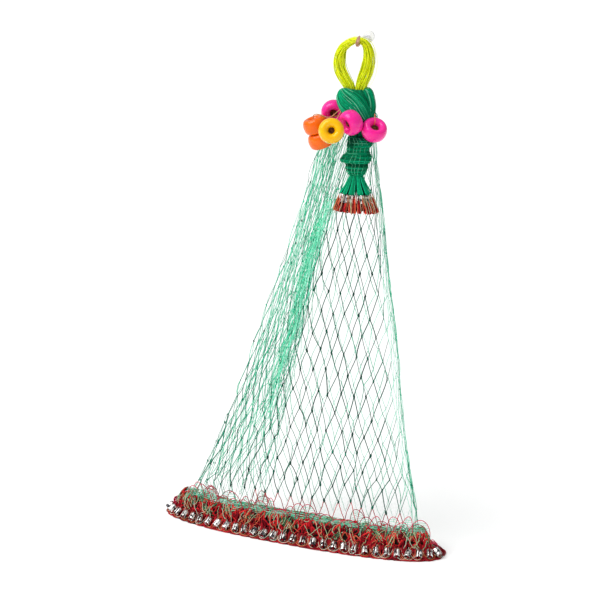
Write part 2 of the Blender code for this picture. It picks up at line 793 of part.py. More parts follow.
def make_lead_line(material, parts):
    """The foot's cord ring: flat below, sloped outside where the sinkers lean on it."""
    rings = [
        [place + out * (p.out * MM) + Vector((0, 0, p.up * MM)) for p in LEAD_LINE_SECTION]
        for place, out in foot_outline(FOOT_STATIONS)
    ]
    return add_object("foot_lead_line", loft("foot_lead_line", rings, round_trip=True), material, parts)


def make_netting(material, parts, cutters):
    """The netting bunched inside and over the lead line, dented by the net's own edge."""
    rings = []
    for k in range(FOOT_STATIONS):
        angle = 2 * math.pi * k / FOOT_STATIONS
        inner = Vector((NETTING_INNER[0] * math.cos(angle), NETTING_INNER[1] * math.sin(angle), 0))
        outer = Vector((NETTING_OUTER[0] * math.cos(angle), NETTING_OUTER[1] * math.sin(angle), 0))
        lump = 1 + sum(row.depth * math.sin(row.count * angle + row.phase) for row in NETTING_LUMPS)
        backwards = min(1.0, max(0.0, NETTING_BACK_START + NETTING_BACK_RISE * math.sin(angle)))
        kept = 1 - (1 - NETTING_BACK_KEPT) * backwards
        ring = []
        for p in NETTING_SECTION:
            height = p.up * (lump if p.up > NETTING_LUMPS_ABOVE else 1.0)
            if height > NETTING_BACK_ABOVE:
                height = NETTING_BACK_ABOVE + (height - NETTING_BACK_ABOVE) * kept
            ring.append(FOOT_CENTRE + inner.lerp(outer, p.out) + Vector((0, 0, height * MM)))
        rings.append(ring)
    netting = add_object("foot_netting", loft("foot_netting", rings, round_trip=True), material, parts)
    clear_of_net(netting, cutters)
    return netting


def make_sinkers(material, parts):
    """The rolled tubes along the front of the foot, leaning on the lead line."""
    mesh = rolled_tube_mesh(
        "sinker",
        SINKER_RADIUS,
        SINKER_WALL,
        SINKER_SLIT_DEGREES,
        SINKER_LENGTH,
        SINKER_SIDES,
    )
    stations = foot_outline(FOOT_OUTLINE_STEPS)
    tilt = math.radians(SINKER_TILT_DEGREES)
    for k in range(SINKERS_SHOWN):
        share = SINKER_FIRST + (SINKER_LAST - SINKER_FIRST) * k / (SINKERS_SHOWN - 1)
        place, out = stations[int(share * FOOT_OUTLINE_STEPS) % FOOT_OUTLINE_STEPS]
        along = Vector((out.x * math.cos(tilt), out.y * math.cos(tilt), -math.sin(tilt)))
        above = Vector((out.x * math.sin(tilt), out.y * math.sin(tilt), math.cos(tilt)))
        low_corner = place + out * (GAP / math.sin(tilt)) - along * SINKER_LIP
        middle = low_corner - along * (SINKER_LENGTH / 2) + above * SINKER_RADIUS
        tube = add_object(f"sinker_{k + 1:02d}", mesh, material, parts)
        side = along.cross(above)
        slit_up = Matrix((above, side, along)).transposed().to_4x4()
        tube.matrix_world = Matrix.Translation(middle) @ slit_up


def main():
    clear_scene()
    parts, cutters = add_collections()
    lime = make_material("lime_hand_line", (0.65, 0.78, 0.02), 0.35)
    green = make_material("green_netting", (0.01, 0.30, 0.14), 0.5)
    red = make_material("red_cord", (0.45, 0.01, 0.02), 0.55)
    lead = make_material("sinker_metal", (0.62, 0.64, 0.66), 0.3, 0.9)
    tan = make_material("tan_twine", (0.55, 0.33, 0.12), 0.7)
    copper = make_material("hook_metal", (0.55, 0.28, 0.14), 0.4, 0.6)
    floats_of = {
        "magenta": make_material("magenta_float", (0.85, 0.03, 0.42), 0.2),
        "yellow": make_material("yellow_float", (0.95, 0.62, 0.02), 0.2),
        "orange": make_material("orange_float", (0.90, 0.22, 0.01), 0.2),
    }
    hook = make_hook(copper, parts, cutters)
    hank = make_hank(lime, parts)
    floats = make_floats(floats_of, parts)
    twines = make_twines(tan, parts)
    knot = make_knot(green, parts, cutters)
    make_tail(green, parts)
    make_tail_sinkers(lead, parts)
    make_tail_line(red, parts)
    make_net(green, parts)
    lead_line = make_lead_line(red, parts)
    netting = make_netting(green, parts, cutters)
    make_sinkers(lead, parts)
    bpy.context.view_layer.update()
    clear_of(hank, [hook], cutters)
    clear_of(knot, [hank, *floats.values(), *twines], cutters)
    clear_of(netting, [lead_line], cutters)
    clear_of_net(knot, cutters)


main()
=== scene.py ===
"""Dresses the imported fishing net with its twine, line, floats, cords and rolled sinkers.

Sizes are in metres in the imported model's own frame: +X along the foot to the right, +Y into
the wall and +Z up, with the origin on the wall behind the hook. Tables are in millimetres and
are turned into metres where they are read.
"""

import logging
import math
from dataclasses import dataclass
from enum import Enum
from typing import Callable, NamedTuple, Sequence, TypeVar

import bpy
import numpy as np
from mathutils import Matrix, Vector


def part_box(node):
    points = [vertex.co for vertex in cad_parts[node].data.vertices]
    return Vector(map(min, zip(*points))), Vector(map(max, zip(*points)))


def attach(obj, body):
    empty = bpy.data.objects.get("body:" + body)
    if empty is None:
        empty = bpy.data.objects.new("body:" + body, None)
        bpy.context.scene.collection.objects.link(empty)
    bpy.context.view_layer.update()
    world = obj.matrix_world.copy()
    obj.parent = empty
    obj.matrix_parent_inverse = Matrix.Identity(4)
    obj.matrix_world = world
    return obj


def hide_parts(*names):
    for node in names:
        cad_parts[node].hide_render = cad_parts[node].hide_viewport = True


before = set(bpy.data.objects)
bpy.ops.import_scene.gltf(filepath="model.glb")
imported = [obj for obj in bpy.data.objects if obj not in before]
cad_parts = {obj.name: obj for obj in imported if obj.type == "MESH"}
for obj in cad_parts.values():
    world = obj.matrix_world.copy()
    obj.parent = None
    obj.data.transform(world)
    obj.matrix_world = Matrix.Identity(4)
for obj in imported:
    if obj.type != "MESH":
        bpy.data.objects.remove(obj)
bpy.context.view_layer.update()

UP = np.array([0.0, 0.0, 1.0])
LOG = logging.getLogger("fishing_net")
ROOT = "root"
MM = 0.001
TAU = 2.0 * math.pi
FLOOR = -780.0 * MM
Colour = tuple[float, float, float]
Point = tuple[float, float, float]
Socket = bpy.types.NodeSocket
Row = TypeVar("Row", bound=tuple)


# ---- smooth lines ------------------------------------------------------------------------


def smooth(rows: Sequence[Sequence[float]], steps: int, closed: bool = False) -> np.ndarray:
    """Runs a smooth curve through the rows of a table.

    Args:
        rows: The table's rows, all of one length.
        steps: Points to each interval.
        closed: Whether the last row runs on into the first.

    Returns:
        The curve's rows, which pass through every row of the table.
    """
    table = np.asarray(rows, float)
    count = len(table)
    spans = count if closed else count - 1
    share = np.linspace(0.0, 1.0, steps, endpoint=False)[:, None]
    out = []
    for i in range(spans):
        if closed:
            p, q, r, s = (table[(i + k) % count] for k in (-1, 0, 1, 2))
        else:
            p, q, r, s = (table[min(max(i + k, 0), count - 1)] for k in (-1, 0, 1, 2))
        linear = (r - p) * share
        square = (2 * p - 5 * q + 4 * r - s) * share**2
        cube = (3 * q - p - 3 * r + s) * share**3
        out.append(0.5 * (2 * q + linear + square + cube))
    if not closed:
        out.append(table[-1:])
    return np.concatenate(out)


def along(line: np.ndarray, share: np.ndarray | float) -> np.ndarray:
    """The points at these shares, 0 to 1, of a line's length."""
    steps = np.linalg.norm(np.diff(line, axis=0), axis=1)
    lengths = np.concatenate([[0.0], np.cumsum(steps)])
    wanted = np.asarray(share) * lengths[-1]
    return np.stack([np.interp(wanted, lengths, line[:, k]) for k in range(line.shape[1])], axis=-1)


def read_off(table: Sequence[tuple[float, float]], at: float) -> float:
    """The value at a place, read off a table of places and values."""
    return float(np.interp(at, *np.array(table).T))


def squared(angle: np.ndarray, power: float) -> tuple[np.ndarray, np.ndarray]:
    """The two parts of a ring of radius one: an oval's at power 1, boxier below it."""
    return tuple(np.sign(part) * np.abs(part) ** power for part in (np.cos(angle), np.sin(angle)))


def unit(rows: np.ndarray) -> np.ndarray:
    """The rows, each scaled to length one."""
    return rows / (np.linalg.norm(rows, axis=-1, keepdims=True) + 1e-12)


def shares(count: int, last: float = 1.0) -> np.ndarray:
    """Even places from 0 to last."""
    return np.linspace(0.0, last, count)


def kept_above(line: np.ndarray, least: float) -> np.ndarray:
    """Lifts a line's points, in place, to at least this height, and returns it."""
    line[:, 2] = np.maximum(line[:, 2], least)
    return line


@dataclass
class Seeded:
    """A sub-assembly with its own random source, so that each is the same whatever is built before it."""

    seed: int = 0

    def __post_init__(self) -> None:
        """Sets up the random source."""
        self._rng = np.random.default_rng(self.seed)
        self.draw = self._rng.uniform
        self.bell = self._rng.normal
        self.chance = self._rng.random
        self.pick = self._rng.choice

    def whole(self, low: int, high: int) -> int:
        """A random whole number from low up to but not including high."""
        return int(self._rng.integers(low, high))

    def wander(self, count: int, reach: float, waves: float) -> np.ndarray:
        """A smooth random offset in three axes along a line.

        Args:
            count: Points on the line.
            reach: The largest usual offset, in metres.
            waves: About how many times it swings along the line.

        Returns:
            One offset for each point.
        """
        at = shares(count)[:, None]
        phase = self.draw(0.0, TAU, (1, 3))
        second = self.draw(0.0, TAU, (1, 3))
        size = self.draw(0.4, 1.0, (1, 3))
        swing = 0.7 * np.sin(TAU * waves * at + phase) + 0.3 * np.sin(TAU * 2.3 * waves * at + second)
        return reach * size * swing

    def loosened(self, line: np.ndarray, reach: float, waves: float) -> np.ndarray:
        """The line with such an offset added."""
        return line + self.wander(len(line), reach, waves)


# ---- finishes ----------------------------------------------------------------------------


def tinted(colour: Colour, share: float) -> tuple[float, float, float, float]:
    """A reflection's tint: white drawn by a share towards a colour's own hue."""
    full = max(colour)
    red, green, blue = (1.0 - share + share * part / full for part in colour)
    return red, green, blue, 1.0


class Shading:
    """One material under construction: its shader and the nodes that feed it."""

    def __init__(self, name: str) -> None:
        """Makes an empty Principled material of that name."""
        self.material = bpy.data.materials.new(name)
        self.material.use_nodes = True
        self.tree = self.material.node_tree
        self.shader = self.tree.nodes["Principled BSDF"]
        self.place = self.tree.nodes.new("ShaderNodeTexCoord").outputs["Object"]

    def _fill(self, node: bpy.types.Node, inputs: dict[str, object]) -> None:
        """Links or sets a node's inputs, named with _ for each space."""
        for name, value in inputs.items():
            socket = node.inputs[name.replace("_", " ")]
            if isinstance(value, Socket):
                self.tree.links.new(value, socket)
            else:
                socket.default_value = value

    def _node(self, kind: str, **inputs: object) -> bpy.types.Node:
        """Adds a node with these inputs."""
        node = self.tree.nodes.new(f"ShaderNode{kind}")
        self._fill(node, inputs)
        return node

    def fix(self, **inputs: object) -> None:
        """Links or sets inputs of the shader itself."""
        self._fill(self.shader, inputs)

    def noise(self, scale: float, detail: float = 3.0, stretch: Point = (1.0, 1.0, 1.0)) -> Socket:
        """A cloudy value from 0 to 1.

        Args:
            scale: Clouds to the metre.
            detail: Octaves.
            stretch: How much finer the clouds are along each axis.

        Returns:
            The socket that gives it.
        """
        mapping = self._node("Mapping", Scale=stretch, Vector=self.place)
        return self._node("TexNoise", Scale=scale, Detail=detail, Vector=mapping.outputs["Vector"]).outputs["Fac"]

    def place_along(self, axis: int, start: float, end: float) -> Socket:
        """A value that runs from 0 at start to 1 at end along an axis (0, 1 or 2) of the piece, in metres."""
        parts = self._node("SeparateXYZ", Vector=self.place)
        return self._node("MapRange", From_Min=start, From_Max=end, Value=parts.outputs[axis]).outputs["Result"]

    def tone(self, name: str = "tone") -> Socket:
        """The value that the mesh carries at each point under this name."""
        carried = self._node("Attribute")
        carried.attribute_name = name
        return carried.outputs["Fac"]

    def ramp(self, source: Socket, stops: Sequence[tuple[float, Colour]]) -> Socket:
        """Colours a value through these stops of place and colour."""
        scale = self._node("ValToRGB", Fac=source)
        elements = scale.color_ramp.elements
        while len(elements) < len(stops):
            elements.new(0.5)
        for element, (place, colour) in zip(elements, stops):
            element.position = place
            element.color = (*colour, 1.0)
        return scale.outputs["Color"]

    def span(self, source: Socket, low: float, high: float) -> Socket:
        """Stretches a value of about 0.3 to 0.7 over low to high."""
        fit = self._node("MapRange", From_Min=0.3, From_Max=0.7, To_Min=low, To_Max=high, Value=source)
        return fit.outputs["Result"]

    def shade(self, colour: Socket, value: Socket) -> Socket:
        """Brightens or darkens a colour by a value near one."""
        return self._node("HueSaturation", Color=colour, Value=value).outputs["Color"]

    def mix(self, share: Socket, first: Socket, second: Colour) -> Socket:
        """Mixes a colour towards a second one by a share."""
        blend = self._node("Mix")
        blend.data_type = "RGBA"
        self._fill(blend, {"Factor": share, "A": first, "B": (*second, 1.0)})
        return blend.outputs["Result"]

    def relief(self, height: Socket, depth: float, strength: float = 1.0) -> None:
        """Raises the surface by a value times depth in metres."""
        bump = self._node("Bump", Distance=depth, Strength=strength, Height=height)
        self.fix(Normal=bump.outputs["Normal"])


@dataclass(frozen=True)
class TwineFinish:
    """Twisted or single-strand nylon, coloured by the tone that each strand carries."""

    name: str
    slot: str
    stops: tuple[tuple[float, Colour], ...]
    roughness: float = 0.45
    mottle: float = 0.18
    sheen: float = 0.0
    gloss: float = 0.25
    glow: float = 0.0

    def build(self) -> bpy.types.Material:
        """Builds the material: tone to colour, fine mottling and a twist's relief."""
        shading = Shading(self.name)
        colour = shading.ramp(shading.tone(), self.stops)
        cloud = shading.span(shading.noise(420.0, 4.0), 1.0 - self.mottle, 1.0 + self.mottle)
        shading.fix(Base_Color=shading.shade(colour, cloud))
        shading.fix(Roughness=shading.span(shading.noise(700.0), self.roughness - 0.1, self.roughness + 0.12))
        shading.relief(shading.noise(2600.0, 2.0, (1.0, 1.0, 0.35)), 0.12 * MM, 0.6)
        shading.fix(Sheen_Weight=self.sheen, Specular_IOR_Level=self.gloss)
        shading.fix(Specular_Tint=tinted(self.stops[len(self.stops) // 2][1], 0.6))
        shading.fix(Subsurface_Weight=self.glow, Subsurface_Scale=0.6 * MM)
        return shading.material


@dataclass(frozen=True)
class NettingFinish:
    """Packed netting seen as a body: fine fibre lines over a dark and light green."""

    name: str
    slot: str
    deep: Colour
    light: Colour
    stretch: Point = (1.0, 1.0, 0.18)
    fibres: float = 900.0
    relief: float = 0.5

    def build(self) -> bpy.types.Material:
        """Builds the material: fibres along the folds, darker where the fibre relief is low, as painted shade."""
        shading = Shading(self.name)
        fibres = shading.noise(self.fibres, 4.0, self.stretch)
        # Painted shade: one fibre noise sets both the relief and the colour, so the low places get the deep colour.
        colour = shading.ramp(fibres, ((0.34, self.deep), (0.66, self.light)))
        patches = shading.span(shading.noise(90.0, 3.0), 0.72, 1.25)
        shading.fix(Base_Color=shading.shade(colour, patches))
        shading.fix(Roughness=shading.span(shading.noise(300.0), 0.42, 0.62))
        shading.relief(fibres, self.relief * MM, 0.9)
        shading.fix(Specular_IOR_Level=0.1)
        return shading.material


@dataclass(frozen=True)
class FloatFinish:
    """Glossy moulded plastic with faint clouding, scuffs and handling marks."""

    name: str
    slot: str
    colour: Colour
    clouded: Colour
    roughness: float = 0.24

    def build(self) -> bpy.types.Material:
        """Builds the material: clouded colour, uneven gloss and a shallow ripple."""
        shading = Shading(self.name)
        cloud = shading.noise(70.0, 4.0)
        colour = shading.ramp(cloud, ((0.3, self.colour), (0.75, self.clouded)))
        specks = shading.span(shading.noise(900.0, 5.0), 0.95, 1.04)
        shading.fix(Base_Color=shading.shade(colour, specks))
        wear = shading.noise(160.0, 6.0, (1.0, 0.3, 1.0))
        rough = shading.span(wear, self.roughness - 0.07, self.roughness + 0.08)
        shading.fix(Roughness=rough)
        shading.relief(shading.noise(240.0, 2.0), 0.12 * MM, 0.5)
        shading.fix(Coat_Weight=0.45, Coat_Roughness=0.16, Specular_IOR_Level=0.4)
        shading.fix(Specular_Tint=tinted(self.colour, 0.75))
        shading.fix(Subsurface_Weight=0.1, Subsurface_Scale=3.0 * MM)
        return shading.material


@dataclass(frozen=True)
class MetalFinish:
    """Metal with dents, uneven polish and patches of colour; on the sinkers the near-black to near-white patches
    are painted reflections.
    """

    name: str
    slot: str
    stops: tuple[tuple[float, Colour], ...]
    roughness: float
    metallic: float = 1.0
    dent: float = 0.5
    patches: float = 190.0
    painted_from: float | None = None
    paint: Colour = (0.9, 0.9, 0.9)

    def build(self) -> bpy.types.Material:
        """Builds the material: patches of colour, uneven polish and small dents; on the sinkers the patches run
        from near black to near white as painted reflections.
        """
        shading = Shading(self.name)
        # Painted reflection on the sinkers: their stops run from near black to near white over these patches,
        # standing in for what bright metal reflects; on the hook they are two copper tones.
        patches = shading.noise(self.patches, 2.5)
        colour = shading.ramp(patches, self.stops)
        if self.painted_from is not None:
            there = shading.place_along(1, self.painted_from, self.painted_from + 1.0 * MM)
            colour = shading.mix(there, colour, self.paint)
        shading.fix(Base_Color=colour)
        rough = shading.span(shading.noise(520.0, 4.0), self.roughness - 0.12, self.roughness + 0.2)
        shading.fix(Roughness=rough)
        shading.relief(shading.noise(380.0, 2.0), self.dent * MM, 0.6)
        if self.painted_from is None:
            shading.fix(Metallic=self.metallic)
        else:
            shading.fix(Metallic=shading.place_along(1, self.painted_from + 1.0 * MM, self.painted_from))
        return shading.material


class Finish(Enum):
    """The finishes of the net, each paired with the record's slot for it."""

    HAND_LINE = TwineFinish(
        "clear_lime_line", "lime_hand_line",
        ((0.0, (0.36, 0.40, 0.0)), (0.3, (0.66, 0.74, 0.0)), (0.6, (0.84, 0.93, 0.0)), (1.0, (0.96, 1.0, 0.08))),
        roughness=0.3, mottle=0.08, gloss=0.35, glow=0.1,
    )
    MESH_TWINE = TwineFinish(
        "green_mesh_twine", "green_netting",
        (
            (0.0, (0.006, 0.04, 0.028)), (0.3, (0.008, 0.12, 0.075)), (0.55, (0.02, 0.34, 0.20)),
            (0.8, (0.09, 0.68, 0.40)), (1.0, (0.58, 0.87, 0.77)),
        ),
    )
    BUNCH_TWINE = TwineFinish(
        "bunched_green_twine", "green_netting",
        (
            (0.0, (0.008, 0.035, 0.012)), (0.35, (0.012, 0.14, 0.055)), (0.6, (0.03, 0.30, 0.14)),
            (0.8, (0.14, 0.46, 0.26)), (1.0, (0.46, 0.70, 0.54)),
        ),
        roughness=0.55, gloss=0.15,
    )
    FOLD_TWINE = TwineFinish(
        "mint_gathered_twine", "green_netting",
        (
            (0.0, (0.02, 0.26, 0.15)), (0.5, (0.07, 0.70, 0.40)), (0.8, (0.14, 0.90, 0.58)),
            (1.0, (0.55, 0.98, 0.80)),
        ),
        roughness=0.6, gloss=0.05,
    )
    KNOT_TWINE = TwineFinish(
        "green_knot_twine", "green_netting",
        (
            (0.0, (0.0, 0.05, 0.022)), (0.3, (0.002, 0.19, 0.085)), (0.6, (0.0, 0.40, 0.17)),
            (0.85, (0.01, 0.56, 0.28)), (1.0, (0.34, 0.80, 0.56)),
        ),
        roughness=0.5, gloss=0.1,
    )
    RED_TWINE = TwineFinish(
        "red_cord_twine", "red_cord",
        (
            (0.0, (0.06, 0.0, 0.004)), (0.35, (0.30, 0.003, 0.010)), (0.7, (0.62, 0.014, 0.022)),
            (0.88, (0.76, 0.05, 0.02)), (1.0, (0.80, 0.17, 0.11)),
        ),
        roughness=0.45,
    )
    CRIMSON_TWINE = TwineFinish(
        "thin_crimson_twine", "red_cord",
        ((0.0, (0.20, 0.0, 0.015)), (0.5, (0.52, 0.008, 0.05)), (1.0, (0.80, 0.14, 0.20))), roughness=0.5,
    )
    TAN_TWINE = TwineFinish(
        "tan_and_pale_twine", "tan_twine",
        (
            (0.0, (0.05, 0.008, 0.004)), (0.15, (0.30, 0.12, 0.03)), (0.3, (0.74, 0.16, 0.08)),
            (0.45, (0.58, 0.38, 0.18)), (0.75, (0.40, 0.58, 0.36)), (1.0, (0.86, 0.82, 0.74)),
        ),
        roughness=0.6,
    )
    KNOT_BODY = NettingFinish("packed_green_netting", "green_netting", (0.0, 0.08, 0.036), (0.004, 0.30, 0.13))
    # Painted shade: the heaped netting and cord bodies are coloured near black, to show as shade between the loose
    # strands laid over them.
    HEAP_BODY = NettingFinish(
        "bunched_foot_netting_painted_shade", "green_netting", (0.030, 0.002, 0.004), (0.022, 0.045, 0.022),
        stretch=(0.5, 1.0, 1.0), fibres=260.0, relief=1.2,
    )
    CORD_BODY = NettingFinish(
        "heaped_red_cord_painted_shade", "red_cord", (0.022, 0.0, 0.002), (0.14, 0.002, 0.006), stretch=(1.0, 1.0, 1.0),
        fibres=420.0, relief=1.2,
    )
    MAGENTA = FloatFinish("magenta_float_plastic", "magenta_float", (0.93, 0.012, 0.28), (0.96, 0.03, 0.38))
    YELLOW = FloatFinish("yellow_float_plastic", "yellow_float", (0.95, 0.47, 0.0), (0.97, 0.54, 0.0))
    ORANGE = FloatFinish("orange_float_plastic", "orange_float", (0.88, 0.12, 0.0), (0.90, 0.17, 0.0))
    # Painted reflection: the near-black to near-white stops stand in for reflections on the bare metal.
    SINKER = MetalFinish(
        "rolled_sinker_metal", "sinker_metal",
        (
            (0.40, (0.05, 0.05, 0.06)), (0.46, (0.42, 0.41, 0.40)), (0.53, (0.86, 0.84, 0.80)),
            (0.62, (0.97, 0.97, 0.97)),
        ),
        0.26,
    )
    HOOK = MetalFinish(
        "copper_hook_wire", "hook_metal", ((0.32, (0.30, 0.15, 0.10)), (0.6, (0.62, 0.38, 0.29))), 0.42, dent=0.2,
        painted_from=-40.0 * MM,
    )


class Finishes:
    """Builds each finish once and hands it out."""

    def __init__(self) -> None:
        """Starts with none built."""
        self._made: dict[Finish, bpy.types.Material] = {}

    def material(self, finish: Finish) -> bpy.types.Material:
        """The finish's material."""
        if finish not in self._made:
            self._made[finish] = finish.value.build()
        return self._made[finish]


FINISHES = Finishes()


# ---- meshes ------------------------------------------------------------------------------


def grid_faces(count: int, around: int, closed: bool) -> np.ndarray:
    """The four-sided faces between rings of points.

    Args:
        count: Rings.
        around: Points in a ring.
        closed: Whether the last ring runs into the first.

    Returns:
        Each face's four points, by number.
    """
    start = np.arange(count if closed else count - 1)[:, None] * around
    here = (start + np.arange(around)).ravel()
    beside = (start + (np.arange(around) + 1) % around).ravel()
    total = count * around
    return np.stack([here, beside, (beside + around) % total, (here + around) % total], axis=1)


def made_mesh(name: str, points: np.ndarray, faces: list[list[int]]) -> bpy.types.Mesh:
    """A smooth mesh of these points and faces."""
    mesh = bpy.data.meshes.new(name)
    mesh.from_pydata(points.reshape(-1, 3).tolist(), [], faces)
    mesh.update()
    mesh.shade_smooth()
    return mesh


class Strands:
    """Collects round strands into one mesh that carries a tone at each point."""

    def __init__(self) -> None:
        """Starts with no strands."""
        self._points: list[np.ndarray] = []
        self._tones: list[np.ndarray] = []
        self._faces: list[list[int]] = []
        self._count = 0

    def tube(
        self,
        line: np.ndarray,
        radius: float | np.ndarray,
        tone: float | np.ndarray,
        sides: int = 5,
        closed: bool = False,
    ) -> None:
        """Adds one strand along a line.

        Args:
            line: Points in metres.
            radius: Its radius, for the whole strand or at each point.
            tone: Its tone from 0 to 1, for the whole strand or at each point.
            sides: Sides of its section.
            closed: Whether its end runs into its start.
        """
        count = len(line)
        if closed:
            ahead = unit(np.roll(line, -1, axis=0) - np.roll(line, 1, axis=0))
        else:
            ahead = unit(np.gradient(line, axis=0))
        centred = line - line.mean(axis=0)
        flat = np.linalg.eigh(centred.T @ centred)[1][:, 0]
        side = unit(np.cross(ahead, flat))
        up = np.cross(side, ahead)
        angles = TAU * np.arange(sides) / sides
        ring = np.cos(angles)[None, :, None] * side[:, None, :] + np.sin(angles)[None, :, None] * up[:, None, :]
        reach = np.broadcast_to(np.asarray(radius, float), (count,))[:, None, None]
        self._points.append((line[:, None, :] + ring * reach).reshape(-1, 3))
        self._tones.append(np.repeat(np.broadcast_to(np.asarray(tone, float), (count,)), sides))
        total = count * sides
        self._faces += (grid_faces(count, sides, closed) + self._count).tolist()
        if not closed:
            first = self._count + np.arange(sides)
            self._faces.append(first[::-1].tolist())
            self._faces.append((first + (count - 1) * sides).tolist())
        self._count += total

    def lump(self, centre: np.ndarray, axis: np.ndarray, length: float, width: float, tone: float) -> None:
        """Adds a small tied knot, as a bead with its long side along axis."""
        places = np.array([-0.5, -0.28, 0.05, 0.3, 0.5])[:, None]
        radii = np.array([0.36, 0.86, 1.0, 0.8, 0.34]) * width / 2
        self.tube(centre + places * length * axis, radii, tone, sides=6)

    def piece(self, name: str, finish: Finish, *nodes: str) -> bpy.types.Object:
        """Makes the object, which rides on the root body and may stand for CAD nodes."""
        mesh = made_mesh(name, np.concatenate(self._points), self._faces)
        carried = mesh.attributes.new("tone", "FLOAT", "POINT")
        carried.data.foreach_set("value", np.concatenate(self._tones).astype(np.float32))
        return place(name, mesh, finish, *nodes)


def linked(name: str, data: bpy.types.ID) -> bpy.types.Object:
    """An object of this data in the scene."""
    thing = bpy.data.objects.new(name, data)
    bpy.context.scene.collection.objects.link(thing)
    return thing


def place(name: str, mesh: bpy.types.Mesh, finish: Finish, *nodes: str) -> bpy.types.Object:
    """Puts a mesh in the scene as one dressed piece.

    Args:
        name: The piece's name.
        mesh: Its mesh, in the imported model's frame.
        finish: What it is made of.
        nodes: CAD nodes that it stands for.

    Returns:
        The piece.
    """
    mesh.materials.clear()
    mesh.materials.append(FINISHES.material(finish))
    piece = linked(name, mesh)
    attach(piece, ROOT)
    if nodes:
        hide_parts(*nodes)
    LOG.info("%s: %d faces", name, len(mesh.polygons))
    return piece


def skinned(name: str, rings: np.ndarray, closed: bool = False) -> bpy.types.Mesh:
    """A smooth closed mesh through rings.

    Args:
        name: The mesh's name.
        rings: Points as rings by points round by three.
        closed: Whether the last ring runs into the first, where the ends are capped if not.

    Returns:
        The mesh.
    """
    count, around = rings.shape[:2]
    faces = grid_faces(count, around, closed).tolist()
    if not closed:
        faces.append(list(range(around))[::-1])
        faces.append(list(range((count - 1) * around, count * around)))
    return made_mesh(name, rings, faces)


def rows_as(kind: type[Row], *rows: Sequence[float]) -> tuple[Row, ...]:
    """A table's rows, each as one of this kind."""
    return tuple(kind(*row) for row in rows)


# ---- the hook and the hand line ----------------------------------------------------------


@dataclass
class WallHook:
    """The bent copper-coloured wire and its plate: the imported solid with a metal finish."""

    node: str = "wall_hook"
    edge_round: float = 0.35 * MM

    def build(self) -> None:
        """Rounds the solid's edges a little and dresses it."""
        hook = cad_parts[self.node]
        rounding = hook.modifiers.new("edge_round", "BEVEL")
        rounding.width = self.edge_round
        rounding.segments = 2
        rounding.limit_method = "ANGLE"
        for held in hook.material_slots:
            held.material = FINISHES.material(Finish.HOOK)
        LOG.info("%s: dressed", self.node)


class HankRow(NamedTuple):
    """One place round the hank: its middle, its breadth in the loop's plane and its depth."""

    x: float
    z: float
    width: float
    depth: float


